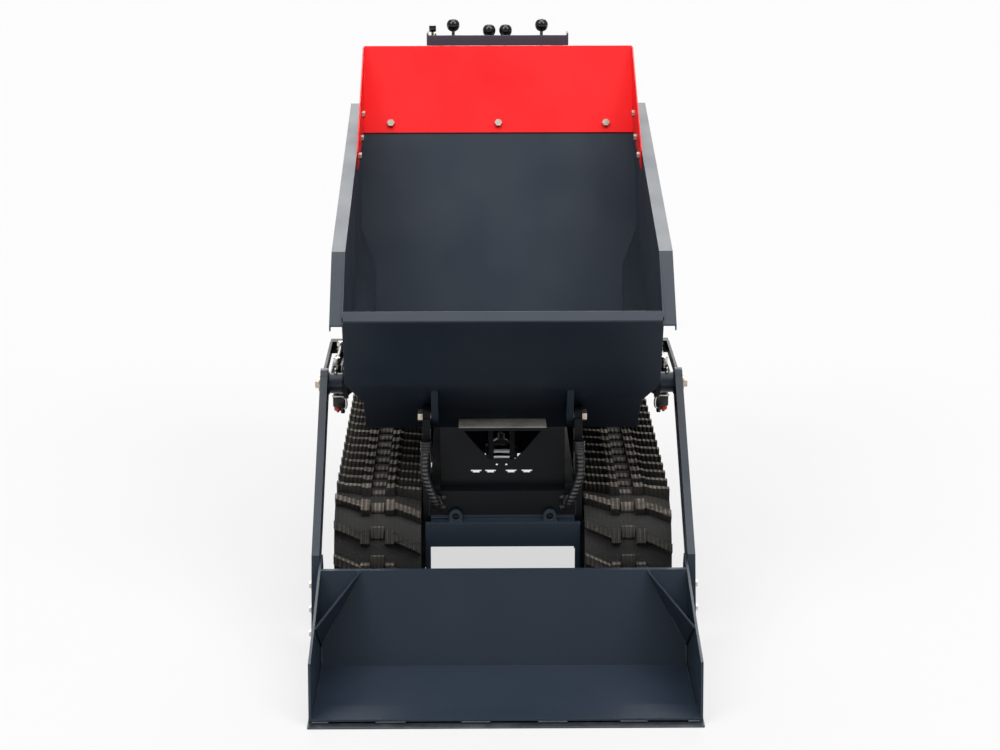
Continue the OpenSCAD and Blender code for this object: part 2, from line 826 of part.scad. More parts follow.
// Fan cover with a hollow inside, a ring of air slots and the hole of the starter cord
cord = [crank_y, crank_z + 50];
cord_r = 2.5;
module fan_cover() {
    x_mid = fan_x0 + 40;
    color("#26282b")
        difference() {
            union() {
                rod_x(fan_x0 + 14, fan_x1, [crank_y, crank_z], 98);
                rod_x(fan_x0, fan_x0 + 14, [crank_y, crank_z], 84);
                translate([x_mid, crank_y + 70, cord[1]])
                    rotate([-90, 0, 0]) cylinder(h = 26, r = 12);
            }
            rod_x(fan_x0 + 17, fan_x1 + 1, [crank_y, crank_z], 92);
            rod_x(fan_x0 + 4, fan_x0 + 18, [crank_y, crank_z], 78);
            translate([x_mid, crank_y, cord[1]]) rotate([-90, 0, 0]) cylinder(h = 140, r = 4);
            for (k = [0 : 11])
                translate([0, crank_y, crank_z])
                    rotate([k * 30, 0, 0])
                        box(fan_x0 - 1, fan_x0 + 5, -5, 5, 34, 70);
        }
}

module starter_grip() {
    x_mid = fan_x0 + 40;
    color("#1a1a1a")
        translate([x_mid, 0, cord[1]])
            rotate([-90, 0, 0]) {
                translate([0, 0, crank_y - 48]) cylinder(h = 150, r = cord_r);
                translate([0, 0, crank_y + 96.3]) cylinder(h = 17, r = 9);
                translate([-34, 0, crank_y + 118]) rotate([0, 90, 0]) cylinder(h = 68, r = 9);
            }
}

module fuel_tank() {
    color("#b01e24")
        difference() {
            union() {
                box(-160, 50, crank_y - 78, crank_y + 100, 566, 668);
                box(-140, 30, crank_y - 62, crank_y + 84, 668, 680);
                for (x = [-110, 0], y = [crank_y - 40, crank_y + 20])
                    translate([x, y, 551]) cylinder(h = 16, r = 8);
            }
            box(-157, 47, crank_y - 75, crank_y + 97, 569, 660);
            translate([-55, crank_y + 20, 640]) cylinder(h = 60, r = 22);
        }
}

module fuel_cap() {
    color("#1a1a1a")
        translate([-55, crank_y + 20, 0])
            difference() {
                union() {
                    translate([0, 0, 662]) cylinder(h = 18.5, r = 22 - run);
                    translate([0, 0, 680.4]) cylinder(h = 18, r = 32);
                }
                for (k = [0 : 11])
                    rotate([0, 0, k * 30]) translate([33.5, 0, 679]) cylinder(h = 30, r = 4, $fn = 16);
            }
}

module muffler() {
    color("#6d6f71") {
        difference() {
            union() {
                box(60, 168, crank_y - 70, crank_y + 60, 486, 580);
                translate([114, crank_y + 60, 556]) rotate([-90, 0, 0]) cylinder(h = 34, r = 13);
            }
            box(63, 165, crank_y - 67, crank_y + 57, 489, 577);
            translate([114, crank_y + 50, 556]) rotate([-90, 0, 0]) cylinder(h = 60, r = 10);
        }
        rod_x(30, 60, [crank_y - 10, 520], 16);
    }
}

module air_filter() {
    color("#1f2123") {
        box(-262, -168, crank_y - 72, crank_y + 66, 530, 636);
        rod_x(-168, -160, [crank_y, 600], 30);
        rod_x(-168, -128, [crank_y - 40, 538], 12);
    }
}

module hydraulic_pump() {
    color("#55595d") {
        rod_x(52, 112, [crank_y, crank_z], 42);
        box(112, 160, crank_y - 34, crank_y + 34, crank_z - 44, crank_z + 44);
        translate([136, crank_y + 34, crank_z + 20]) rotate([-90, 0, 0]) cylinder(h = 16, r = 13);
        translate([136, crank_y + 34, crank_z - 20]) rotate([-90, 0, 0]) cylinder(h = 16, r = 13);
        box(70, 100, crank_y - 30, crank_y + 30, deck_z, crank_z - 30);
    }
}

tank_cap_at = [240, 640];
module hydraulic_tank() {
    color("#383e42") {
        difference() {
            box(182, 296, 440, 700, deck_z, 560);
            box(186, 292, 444, 696, deck_z + 4, 552);
            translate([tank_cap_at[0], tank_cap_at[1], 540]) cylinder(h = 60, r = 20);
        }
        translate([210, 700, 350]) rotate([-90, 0, 0]) cylinder(h = 14, r = 13);
    }
}

module tank_cap() {
    color("#1a1a1a")
        translate([tank_cap_at[0], tank_cap_at[1], 0]) {
            translate([0, 0, 548]) cylinder(h = 14, r = 20 - run);
            translate([0, 0, 560.4]) cylinder(h = 22, r = 28);
        }
}

// Console
module console_frame() {
    color("#383e42") {
        both_sides() {
            box(post_x - post_half, post_x + post_half, lever_y - 32, lever_y - 2, deck_z, panel_z);
            box(post_x - 30, post_x + 30, lever_y - 44, lever_y + 10, deck_z, deck_z + 6);
            rod_between([post_x, lever_y - 2, grab_z], [post_x, grab_y, grab_z], grab_r);
        }
        rod_x(-post_x - grab_r, post_x + grab_r, [grab_y, grab_z], grab_r);
        box(-post_x + post_half, post_x - post_half, lever_y - 28, lever_y - 6, 560, 600);
    }
}

function lever_xs() = [-drive_lever_x, -work_lever_x, work_lever_x, drive_lever_x];
module console_panel() {
    color("#454c52") {
        difference() {
            box(-panel_half_w, panel_half_w, panel_y0, panel_y1, panel_z, panel_z + 4);
            for (x = lever_xs())
                box(x - 9, x + 9, lever_y - 34, lever_y + 34, panel_z - 1, panel_z + 5);
        }
        box(-panel_half_w, panel_half_w, panel_y0, panel_y0 + 4, panel_z, panel_z + 25);
        both_sides()
            box(panel_half_w - 4, panel_half_w, panel_y0, panel_y0 + 46, panel_z, panel_z + 30);
        box(throttle[0] + 5, throttle[0] + 9, throttle[1] - 9, throttle[1] + 9, panel_z + 4, panel_z + 26);
        rod_x(throttle[0] - 5, throttle[0] + 5, [throttle[1], throttle[2]], 3);
    }
}

// Spool valve between the posts, with a lug pair and a pin for each lever
module control_valve() {
    color("#55595d") {
        box(-post_x + post_half, post_x - post_half, lever_y - 30, lever_y + 30, lever_z - 80, lever_z - 20);
        for (x = lever_xs()) {
            both_sides_of(x)
                plate_x(7, 12, [
                    [lever_y - 12, lever_z - 20], [lever_y + 12, lever_z - 20],
                    [lever_y + 8, lever_z + 8], [lever_y - 8, lever_z + 8]]);
            rod_x(x - 14, x + 14, [lever_y, lever_z], 4);
            translate([x, lever_y, lever_z - 100]) cylinder(h = 20, r = 11);
        }
    }
}

module both_sides_of(x) {
    translate([x, 0, 0]) {
        children();
        mirror([1, 0, 0]) children();
    }
}

module lever(x, knob_z) {
    color("#c9ccd0")
        translate([x, lever_y, 0])
            difference() {
                union() {
                    rod_x(-6, 6, [0, lever_z], lever_eye_r);
                    translate([0, 0, lever_z]) cylinder(h = knob_z - lever_z - knob_r + 2, r = lever_r);
                }
                rod_x(-20, 20, [0, lever_z], 4 + run);
            }
}

module knob(x, knob_z) {
    color("#141414")
        translate([x, lever_y, knob_z])
            difference() {
                sphere(r = knob_r, $fn = 48);
                translate([0, 0, -2 * knob_r]) cylinder(h = knob_r + 2, r = lever_r);
            }
}

module lever_left_drive() { lever(-drive_lever_x, drive_knob_z); }
module lever_right_drive() { lever(drive_lever_x, drive_knob_z); }
module lever_skip() { lever(-work_lever_x, work_knob_z); }
module lever_shovel() { lever(work_lever_x, work_knob_z); }
module knob_left_drive() { knob(-drive_lever_x, drive_knob_z); }
module knob_right_drive() { knob(drive_lever_x, drive_knob_z); }
module knob_skip() { knob(-work_lever_x, work_knob_z); }
module knob_shovel() { knob(work_lever_x, work_knob_z); }

module throttle_lever() {
    p = [throttle[1], throttle[2]];
    color("#c9a24a")
        difference() {
            union() {
                rod_x(throttle[0] - 3, throttle[0] + 3, p, 7);
                translate([throttle[0], p[0], p[1]]) cylinder(h = 19, r = 3);
                translate([throttle[0], p[0], p[1] + 15]) cylinder(h = 13, r = 7);
            }
            rod_x(throttle[0] - 10, throttle[0] + 10, p, 3 + run);
        }
}

// Hoses held at both ends
module hydraulic_hoses() {
    color("#161616") {
        both_sides()
            hose([
                [158, -362, 390], [161, -368, 366], [160, -376, 338], [152, -382, 312],
                [142, -384, 288], [137, -376, 276], [136, -358, 274]], 9);
        both_sides() {
            translate([158, -362, 384]) cylinder(h = 24, r = 12);
            box(150, 166, -376, rail_y0, 408, 416);
            translate([136, -367, 274]) rotate([-90, 0, 0]) cylinder(h = 15, r = 12, $fn = 6);
        }
        hose([
            [136, crank_y + 50.4, crank_z + 20], [136, crank_y + 66, crank_z + 20],
            [134, 684, 452], [118, 724, 520], [108, 736, 700], [108, 758, 790],
            [108, lever_y - 6, lever_z - 154], [108, lever_y, lever_z - 126],
            [108, lever_y, lever_z - 100.4]], 9);
        hose([
            [136, crank_y + 50.4, crank_z - 20], [137, crank_y + 68, crank_z - 20],
            [160, 720, 378], [198, 746, 352], [210, 732, 350], [210, 714.4, 350]], 9);
        for (x = [-work_lever_x, work_lever_x])
            hose([
                [x, lever_y, lever_z - 100.4], [x, lever_y, lever_z - 128],
                [x * 1.1, lever_y - 10, lever_z - 180], [x * 1.5, 744, 700], [x * 2, 730, 480],
                [x * 2, 727, 400], [x * 2, 726, 340], [x * 2, 726, 313]], 8);
    }
}

chassis_rails();
cross_members();
rest_pads();
front_plate();
front_beam();
lift_frame_left();
lift_frame_right();
pivot_pins();
track_beam_left();
track_beam_right();
final_drives();
track_left();
track_right();
sprocket_left();
sprocket_right();
idler_left();
idler_right();
roller_left_1();
roller_left_2();
roller_left_3();
roller_right_1();
roller_right_2();
roller_right_3();
skip_tub();
skip_subframe();
spill_guard();
guard_bolts();
lift_arm_left();
lift_arm_right();
shovel();
cutting_edge();
shovel_bolts();
lift_barrels();
lift_rods();
tip_barrel();
tip_rod();
engine_deck();
engine_block();
fan_cover();
starter_grip();
fuel_tank();
fuel_cap();
muffler();
air_filter();
hydraulic_pump();
hydraulic_tank();
tank_cap();
console_frame();
console_panel();
control_valve();
lever_left_drive();
lever_right_drive();
lever_skip();
lever_shovel();
knob_left_drive();
knob_right_drive();
knob_skip();
knob_shovel();
throttle_lever();
hydraulic_hoses();
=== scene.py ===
# %% [markdown]
# # A tracked power carrier, dressed for its picture
# The solids of the machine come ready made: every plate, pin and wheel is already in place, in metres.
# This lesson gives them rounded edges, real finishes, hoses, weld seams and small hardware, and then a camera
# and soft light like those of a catalogue photograph.

# %% Load the machine
import json
import math
import bmesh
import bpy
from mathutils import Matrix, Vector


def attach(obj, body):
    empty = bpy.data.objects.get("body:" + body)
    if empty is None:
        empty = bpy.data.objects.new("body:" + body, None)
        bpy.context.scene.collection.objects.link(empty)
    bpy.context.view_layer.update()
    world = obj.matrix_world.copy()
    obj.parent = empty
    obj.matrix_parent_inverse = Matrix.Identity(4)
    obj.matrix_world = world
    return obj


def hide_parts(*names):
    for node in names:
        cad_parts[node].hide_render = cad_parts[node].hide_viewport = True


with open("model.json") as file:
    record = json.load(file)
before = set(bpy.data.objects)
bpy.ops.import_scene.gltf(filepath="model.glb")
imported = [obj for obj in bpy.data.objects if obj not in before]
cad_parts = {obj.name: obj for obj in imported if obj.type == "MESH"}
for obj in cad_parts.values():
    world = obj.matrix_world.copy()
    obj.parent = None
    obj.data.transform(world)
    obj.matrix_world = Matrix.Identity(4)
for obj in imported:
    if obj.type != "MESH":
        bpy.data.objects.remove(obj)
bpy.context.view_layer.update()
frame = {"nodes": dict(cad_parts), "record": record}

BODY_OF = {node: body for body, nodes in frame["record"]["behaviour"]["bodies"].items() for node in nodes}
scene = bpy.context.scene

# %% [markdown]
# ## The camera
# A long lens far in front of the shovel keeps the tracks nearly parallel. A constraint could aim the camera, but
# its place, tilt and lens were worked out together, from knobs, rim corners and the shovel's lip, so they are typed
# here as they were found. The focal length is in pixels of a picture 1000 wide and is turned to millimetres.

# %% Camera
PICTURE_PX, FOCAL_PX = 1000.0, 2477.1
STAND = (-0.0523, -5.288, 1.8041)
PAN, TILT, ROLL = math.radians(-0.545), math.radians(90.0 - 14.31), math.radians(-0.068)
camera_data = bpy.data.cameras.new("catalogue_camera")
camera_data.sensor_fit = "HORIZONTAL"
camera_data.sensor_width = 36.0
camera_data.lens = FOCAL_PX / PICTURE_PX * camera_data.sensor_width
camera_data.clip_end = 200.0
camera = bpy.data.objects.new("catalogue_camera", camera_data)
scene.collection.objects.link(camera)
camera.matrix_world = (Matrix.Translation(STAND) @ Matrix.Rotation(PAN, 4, "Z")
                       @ Matrix.Rotation(TILT, 4, "X") @ Matrix.Rotation(ROLL, 4, "Z"))
scene.camera = camera
scene.view_settings.view_transform = "Standard"
print("lens in mm", round(camera_data.lens, 1))

# %% [markdown]
# ## Finishes
# A finish is a small graph of nodes. It could be drawn by hand in the shader editor, but written down it can be
# read and changed in one place. One function adds a node, sets its sockets and links it, so each graph reads from
# top to bottom. Colours are written as sRGB hex, the way a paint chart gives them, and turned to linear light.
# Patterns are sized in millimetres on Object coordinates, which are metres here.

# %% Helpers for finishes
# A Mix node has sockets for every kind of value. These are the ones that mix two colours.
SHARE, COLOUR_A, COLOUR_B, COLOUR_OUT = 0, 6, 7, 2


def linear(hex_colour):
    channels = [int(hex_colour[i:i + 2], 16) / 255.0 for i in (1, 3, 5)]
    return tuple([c / 12.92 if c <= 0.04045 else ((c + 0.055) / 1.055) ** 2.4 for c in channels] + [1.0])


def add(tree, kind, sockets=None, links=None, **settings):
    node = tree.nodes.new(kind)
    for key, value in settings.items():
        setattr(node, key, value)
    for key, value in (sockets or {}).items():
        node.inputs[key].default_value = value
    for key, socket in (links or {}).items():
        tree.links.new(socket, node.inputs[key])
    return node


def per_mm(size_mm):
    return 1000.0 / size_mm


def begin(name):
    finish = bpy.data.materials.new(name)
    finish.use_nodes = True
    tree = finish.node_tree
    tree.nodes.clear()
    place = add(tree, "ShaderNodeTexCoord").outputs["Object"]
    shader = add(tree, "ShaderNodeBsdfPrincipled")
    add(tree, "ShaderNodeOutputMaterial", links={"Surface": shader.outputs[0]})
    return finish, tree, place, shader


print("a signal red in linear light", [round(c, 3) for c in linear("#fe0d15")])

# %% [markdown]
# ### Powder coat
# The plates are sprayed with polyester powder and baked. The film flows into a fine orange peel of about a
# millimetre; here it is drawn at 3 mm so that it shows. Handling leaves faint cloudy dullness over a hand's
# width and fine dusty specks, so roughness and colour both drift a little. One function serves every painted
# part, because they differ in colour and gloss and not in how they are made.

# %% Powder coats
def powder_coat(name, colour, worn, roughness, grain_mm=3.0, ior=1.36):
    finish, tree, place, shader = begin(name)
    cloud = add(tree, "ShaderNodeTexNoise", {"Scale": per_mm(140), "Detail": 4.0}, {"Vector": place})
    speck = add(tree, "ShaderNodeTexNoise", {"Scale": per_mm(9), "Detail": 6.0, "Roughness": 0.7}, {"Vector": place})
    dusty = add(tree, "ShaderNodeMapRange", {"From Min": 0.56, "From Max": 0.80, "To Max": 0.55},
                {"Value": speck.outputs["Fac"]})
    tone = add(tree, "ShaderNodeMapRange", {"From Min": 0.3, "From Max": 0.7, "To Min": 0.0, "To Max": 0.35},
               {"Value": cloud.outputs["Fac"]})
    amount = add(tree, "ShaderNodeMath", links={0: dusty.outputs[0], 1: tone.outputs[0]}, operation="MULTIPLY")
    paint = add(tree, "ShaderNodeMix", {COLOUR_A: linear(colour), COLOUR_B: linear(worn)},
                {SHARE: amount.outputs[0]}, data_type="RGBA")
    dull = add(tree, "ShaderNodeMapRange", {"From Min": 0.3, "From Max": 0.7, "To Min": roughness - 0.05,
               "To Max": roughness + 0.07}, {"Value": cloud.outputs["Fac"]})
    peel = add(tree, "ShaderNodeTexNoise", {"Scale": per_mm(grain_mm), "Detail": 2.0}, {"Vector": place})
    bump = add(tree, "ShaderNodeBump", {"Strength": 0.10, "Distance": 0.0006}, {"Height": peel.outputs["Fac"]})
    tree.links.new(paint.outputs[COLOUR_OUT], shader.inputs["Base Color"])
    tree.links.new(dull.outputs[0], shader.inputs["Roughness"])
    tree.links.new(bump.outputs[0], shader.inputs["Normal"])
    shader.inputs["IOR"].default_value = ior
    return finish


# Anthracite: a blue grey with a soft, wide highlight that shows every fold of the tub.
anthracite = powder_coat("anthracite_powder_coat", "#242e3a", "#424d58", 0.36)
# Chassis coat: nearly black, and so flat that it hardly answers the lights.
chassis_grey = powder_coat("chassis_powder_coat", "#0e1013", "#292c31", 0.40, ior=1.22)
# Signal red: the one full colour, a little pinker where it has been handled.
signal_red = powder_coat("signal_red_powder_coat", "#fe0d15", "#fb5a54", 0.36)
# Enamel on cylinders and engine: a thinner, glossier film with a coarser peel, so highlights stay narrow.
cylinder_black = powder_coat("black_cylinder_enamel", "#17181a", "#3d3f42", 0.28, 5.0)
engine_black = powder_coat("black_engine_enamel", "#1b1c1e", "#46484a", 0.34, 5.0)
# Console coat: a light violet grey that lifts the panel from the dark skip in front of it.
console_grey = powder_coat("console_powder_coat", "#555562", "#707079", 0.34)
print("powder coats", [m.name for m in bpy.data.materials if "coat" in m.name or "enamel" in m.name])

# %% [markdown]
# ### Rubber
# A track is vulcanised in a steel mould. It leaves the mould black, then soil turns it a dusty brown grey. The lugs
# carry ribs about 9 mm apart, which run across each bar. The pale colour here is partly that dust and partly painted
# light: it is strongest on the lugs and on whatever looks up, while the gaps between lugs and the grooves between
# ribs are kept dark as painted shade. It could be painted on by hand, but the piece's own attribute lug says how far
# a point stands out of the belt, so the pale colour stays on the lugs wherever they are.

# %% Track rubber
RIB_MM = 9
# One wave of the bands texture is 2 pi / 20 units long at scale 1, so a pitch takes 0.314 of its size's scale.
WAVE = 0.314


def track_rubber():
    finish, tree, place, shader = begin("vulcanised_track_rubber")
    lug = add(tree, "ShaderNodeAttribute", attribute_name="lug").outputs["Fac"]
    soil = add(tree, "ShaderNodeTexNoise", {"Scale": per_mm(55), "Detail": 8.0, "Roughness": 0.65}, {"Vector": place})
    grit = add(tree, "ShaderNodeTexNoise", {"Scale": per_mm(5), "Detail": 4.0, "Roughness": 0.7}, {"Vector": place})
    patch = add(tree, "ShaderNodeMapRange", {"From Min": 0.36, "From Max": 0.68, "To Min": 0.25, "To Max": 0.95},
                {"Value": soil.outputs["Fac"]})
    # The lugs take dust; keeping the gaps between them near black is painted shade.
    lug_dust_and_gap_shade = add(tree, "ShaderNodeMapRange", {"To Min": 0.06, "To Max": 1.0}, {"Value": lug})
    looks = add(tree, "ShaderNodeSeparateXYZ", links={0: add(tree, "ShaderNodeTexCoord").outputs["Normal"]})
    # Faces that look up get the pale colour most and faces that look sideways far less: partly dust, partly painted
    # light from above.
    dust_and_painted_top_light = add(tree, "ShaderNodeMapRange", {"From Min": 0.7, "From Max": 0.98, "To Min": 0.2, "To Max": 1.7},
                  {"Value": looks.outputs["Z"]})
    patchy_dust_and_gap_shade = add(tree, "ShaderNodeMath", links={0: patch.outputs[0], 1: lug_dust_and_gap_shade.outputs[0]}, operation="MULTIPLY")
    ribs = add(tree, "ShaderNodeTexWave", {"Scale": WAVE * per_mm(RIB_MM), "Distortion": 0.4, "Detail": 1.0},
               {"Vector": place}, bands_direction="X")
    # The pale colour is held back in each groove between ribs: painted shade.
    painted_groove_shade = add(tree, "ShaderNodeMapRange", {"To Min": 0.35, "To Max": 1.05}, {"Value": ribs.outputs["Fac"]})
    dust_and_painted_light = add(tree, "ShaderNodeMath", links={0: patchy_dust_and_gap_shade.outputs[0], 1: dust_and_painted_top_light.outputs[0]}, operation="MULTIPLY")
    amount = add(tree, "ShaderNodeMath", links={0: dust_and_painted_light.outputs[0], 1: painted_groove_shade.outputs[0]}, operation="MULTIPLY")
    # The pale brown is made bright enough to show where the skip shades the top run: painted light as well as dust.
    base = add(tree, "ShaderNodeMix", {COLOUR_A: linear("#121212"), COLOUR_B: linear("#968c80")},
               {SHARE: amount.outputs[0]}, data_type="RGBA")
    fleck = add(tree, "ShaderNodeMapRange", {"From Min": 0.58, "From Max": 0.75, "To Max": 0.18},
                {"Value": grit.outputs["Fac"]})
    colour = add(tree, "ShaderNodeMix", {COLOUR_B: linear("#8a8076")},
                 {SHARE: fleck.outputs[0], COLOUR_A: base.outputs[COLOUR_OUT]}, data_type="RGBA")
    rib_height = add(tree, "ShaderNodeMath", links={0: ribs.outputs["Fac"], 1: lug}, operation="MULTIPLY")
    height = add(tree, "ShaderNodeMath", {1: 0.35}, {0: grit.outputs["Fac"], 2: rib_height.outputs[0]},
                 operation="MULTIPLY_ADD")
    bump = add(tree, "ShaderNodeBump", {"Strength": 1.0, "Distance": 0.004}, {"Height": height.outputs[0]})
    tree.links.new(colour.outputs[COLOUR_OUT], shader.inputs["Base Color"])
    tree.links.new(bump.outputs[0], shader.inputs["Normal"])
    shader.inputs["Roughness"].default_value = 0.78
    shader.inputs["IOR"].default_value = 1.52
    return finish


# Track rubber: pale brown on the crowns and near black in the gaps, so that each lug is drawn by dust and by painted
# light and shade.
belt_rubber = track_rubber()
print("track rubber has", len(belt_rubber.node_tree.nodes), "nodes")

# %% [markdown]
# ### Moulded rubber and plastic
# Hoses, buffers, covers, knobs and caps come out of a mould or a die. Their colour goes right through, with a faint
# pale bloom, and the surface copies the grain of the tool. A plain colour would look like a toy, so bloom and grain
# are two noises, and each finish sets how deep and how glossy they are. Real tool grain is a few tenths of a
# millimetre; it is drawn at 1.6 mm and more, so that it shows.

# %% Moulded finishes
def moulded(name, colour, pale, roughness, grain_mm, depth_mm):
    finish, tree, place, shader = begin(name)
    bloom = add(tree, "ShaderNodeTexNoise", {"Scale": per_mm(40), "Detail": 5.0}, {"Vector": place})
    amount = add(tree, "ShaderNodeMapRange", {"From Min": 0.45, "From Max": 0.8, "To Max": 0.5},
                 {"Value": bloom.outputs["Fac"]})
    tone = add(tree, "ShaderNodeMix", {COLOUR_A: linear(colour), COLOUR_B: linear(pale)},
               {SHARE: amount.outputs[0]}, data_type="RGBA")
    grain = add(tree, "ShaderNodeTexNoise", {"Scale": per_mm(grain_mm), "Detail": 3.0}, {"Vector": place})
    bump = add(tree, "ShaderNodeBump", {"Strength": 0.25, "Distance": depth_mm / 1000.0},
               {"Height": grain.outputs["Fac"]})
    tree.links.new(tone.outputs[COLOUR_OUT], shader.inputs["Base Color"])
    tree.links.new(bump.outputs[0], shader.inputs["Normal"])
    shader.inputs["Roughness"].default_value = roughness
    shader.inputs["IOR"].default_value = 1.5
    return finish


SPIRAL_MM = 8


def ribbed_guard():
    finish, tree, place, shader = begin("spiral_guard_polythene")
    turns = add(tree, "ShaderNodeTexWave", {"Scale": WAVE * per_mm(SPIRAL_MM), "Distortion": 0.6, "Detail": 1.0},
                {"Vector": place}, bands_direction="Z")
    # The crest of each turn is painted paler: a painted highlight.
    tone = add(tree, "ShaderNodeMix", {COLOUR_A: linear("#080809"), COLOUR_B: linear("#19191a")},
               {SHARE: turns.outputs["Fac"]}, data_type="RGBA")
    bump = add(tree, "ShaderNodeBump", {"Strength": 0.8, "Distance": 0.002}, {"Height": turns.outputs["Fac"]})
    tree.links.new(tone.outputs[COLOUR_OUT], shader.inputs["Base Color"])
    tree.links.new(bump.outputs[0], shader.inputs["Normal"])
    shader.inputs["Roughness"].default_value = 0.42
    return finish


# Hose rubber: cured in a cloth wrap, so it is finely grained, with a satin line along its back.
hose_rubber = moulded("extruded_hose_rubber", "#141414", "#2c2b2a", 0.5, 2.0, 0.2)
# Spiral guard of black polythene: each turn's crest is painted a paler black as a painted highlight, and the ridge
# also catches a thin highlight of its own.
guard_polythene = ribbed_guard()
# Buffer rubber: dull and a little grey, with the coarse skin of its mould.
buffer_rubber = moulded("moulded_buffer_rubber", "#1a1a1a", "#353330", 0.7, 3.0, 0.4)
# ABS covers: an even, fine sparkle from the etched mould.
black_plastic = moulded("grained_black_abs", "#17181a", "#2e2f31", 0.45, 1.6, 0.15)
# Phenolic knobs: polished, so each ball shows one small sharp light.
knob_plastic = moulded("polished_phenolic_knob", "#08080a", "#101012", 0.12, 8.0, 0.02)
# Oil behind acrylic: warm amber under a hard shine.
amber_oil = moulded("oil_behind_acrylic", "#8a5a1c", "#a87630", 0.08, 6.0, 0.02)
# Polythene caps: a waxy red with a wide, weak highlight.
red_caps = moulded("red_polythene_cap", "#c23018", "#d8563a", 0.4, 4.0, 0.1)
print("moulded finishes ready, the last is", red_caps.name)

# %% [markdown]
# ### Bare and plated metal
# Zinc plate, chrome, ground steel, cast iron and cast alloy differ in grain and in how wide their highlight is.
# Each gets its own scratch or casting grain and a roughness that drifts, because even shine looks like plastic.
# Grain could come from a scanned picture; a stretched noise gives the same look at any size. It is drawn at 3 to
# 6 mm, coarser than real scratches and sand, so that it shows from where the camera stands.

# %% Metals
def metal(name, colour, stain, roughness, grain_mm, depth_mm,
          stretch=(1.0, 1.0, 1.0), stain_mm=35.0, metallic=1.0):
    finish, tree, place, shader = begin(name)
    turn = add(tree, "ShaderNodeMapping", {"Scale": stretch}, {"Vector": place})
    grain = add(tree, "ShaderNodeTexNoise", {"Scale": per_mm(grain_mm), "Detail": 5.0, "Roughness": 0.6},
                {"Vector": turn.outputs[0]})
    cloud = add(tree, "ShaderNodeTexNoise", {"Scale": per_mm(stain_mm), "Detail": 5.0}, {"Vector": place})
    amount = add(tree, "ShaderNodeMapRange", {"From Min": 0.42, "From Max": 0.72, "To Max": 0.8},
                 {"Value": cloud.outputs["Fac"]})
    skin = add(tree, "ShaderNodeMix", {COLOUR_A: linear(colour), COLOUR_B: linear(stain)},
               {SHARE: amount.outputs[0]}, data_type="RGBA")
    dull = add(tree, "ShaderNodeMapRange", {"From Min": 0.3, "From Max": 0.7, "To Min": max(0.03, roughness - 0.06),
               "To Max": roughness + 0.10}, {"Value": grain.outputs["Fac"]})
    bump = add(tree, "ShaderNodeBump", {"Strength": 0.3, "Distance": depth_mm / 1000.0},
               {"Height": grain.outputs["Fac"]})
    tree.links.new(skin.outputs[COLOUR_OUT], shader.inputs["Base Color"])
    tree.links.new(dull.outputs[0], shader.inputs["Roughness"])
    tree.links.new(bump.outputs[0], shader.inputs["Normal"])
    shader.inputs["Metallic"].default_value = metallic
    return finish


# Bright zinc: silvery with a faint grey cloud, which picks out bolts and fittings.
zinc = metal("bright_zinc_plate", "#b4b3ae", "#938e82", 0.30, 6.0, 0.05)
# Dulled zinc: warmer and browner after a season outdoors, on the large bolt heads.
dull_zinc = metal("dulled_zinc_plate", "#b3aa9e", "#857867", 0.36, 5.0, 0.05)
# Black zinc: dark plating that shows only by its rims.
black_zinc = metal("black_zinc_plate", "#333335", "#4c4a47", 0.34, 5.0, 0.05)
# Galvanised tread: pale and crystalline, hardly a mirror.
galvanised = metal("galvanised_tread", "#a09f98", "#7d7a72", 0.45, 4.0, 0.1, metallic=0.35)
# Yellow chromate: brassy, shifting to pink in patches a fingertip wide.
yellow_zinc = metal("yellow_chromate_zinc", "#c9a24a", "#b98f6a", 0.30, 6.0, 0.05, stain_mm=14.0)
# Hard chrome: close to a mirror, with hardly any grain.
chrome = metal("hard_chrome_rod", "#d9dbde", "#c4c7cb", 0.08, 4.0, 0.01)
# Cutting edge: soil scuffs the paint lengthwise, so the grain is stretched along x.
edge_steel = metal("scuffed_edge_steel", "#272c32", "#454b51", 0.42, 5.0, 0.15, (0.15, 1.0, 1.0), 30.0, 0.35)
# Weld bead: the same coat over ripples, a little paler in random patches.
weld_metal = metal("painted_weld_bead", "#232a32", "#3a424a", 0.36, 3.0, 0.3, metallic=0.2)
# Sand-cast iron: a coarse skin and a wide, weak highlight.
cast_iron = metal("sand_cast_iron", "#2a2a2b", "#3f3b37", 0.62, 4.0, 0.6, metallic=0.6)
# Die-cast alloy: light grey and finely pebbled.
cast_alloy = metal("die_cast_alloy", "#8d9092", "#6f7274", 0.48, 4.0, 0.35)
# Heat-dulled steel: brown and matt where the exhaust has cooked it.
hot_steel = metal("heat_dulled_steel", "#6b6660", "#54483d", 0.52, 6.0, 0.2)
print("finishes", len(bpy.data.materials))

# %% [markdown]
# ## Dressing the solids
# A real plate has an edge radius, and that thin bright line is what tells the eye it is steel. A bevel node in the
# material could fake it, but only in the shading, not in the mesh. So a copy of each solid is merged, its flat
# triangles are dissolved, and every edge sharper than 28 degrees is bevelled. The copy then stands for the solid, and
# weighted normals keep its flat faces flat.

# %% Rounded copies of the solids
SMOOTH_DEG, BEVEL_DEG, FLAT_DEG, MERGE = 38.0, 28.0, 0.5, 1e-5


def dress(bm, name, body, finish, smooth_deg=SMOOTH_DEG):
    mesh = bpy.data.meshes.new(name)
    for face in bm.faces:
        face.smooth = True
    bm.to_mesh(mesh)
    bm.free()
    mesh.set_sharp_from_angle(angle=math.radians(smooth_deg))
    piece = bpy.data.objects.new(name, mesh)
    scene.collection.objects.link(piece)
    piece.data.materials.append(finish)
    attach(piece, body)
    return piece


def edges_of(verts):
    # A dictionary drops doubles as a set does, and keeps the order.
    return list(dict.fromkeys(edge for vertex in verts for edge in vertex.link_edges))


def keep_flats(piece):
    flats = piece.modifiers.new("keep_flats", "WEIGHTED_NORMAL")
    flats.mode = "FACE_AREA"
    flats.weight = 100
    flats.keep_sharp = True


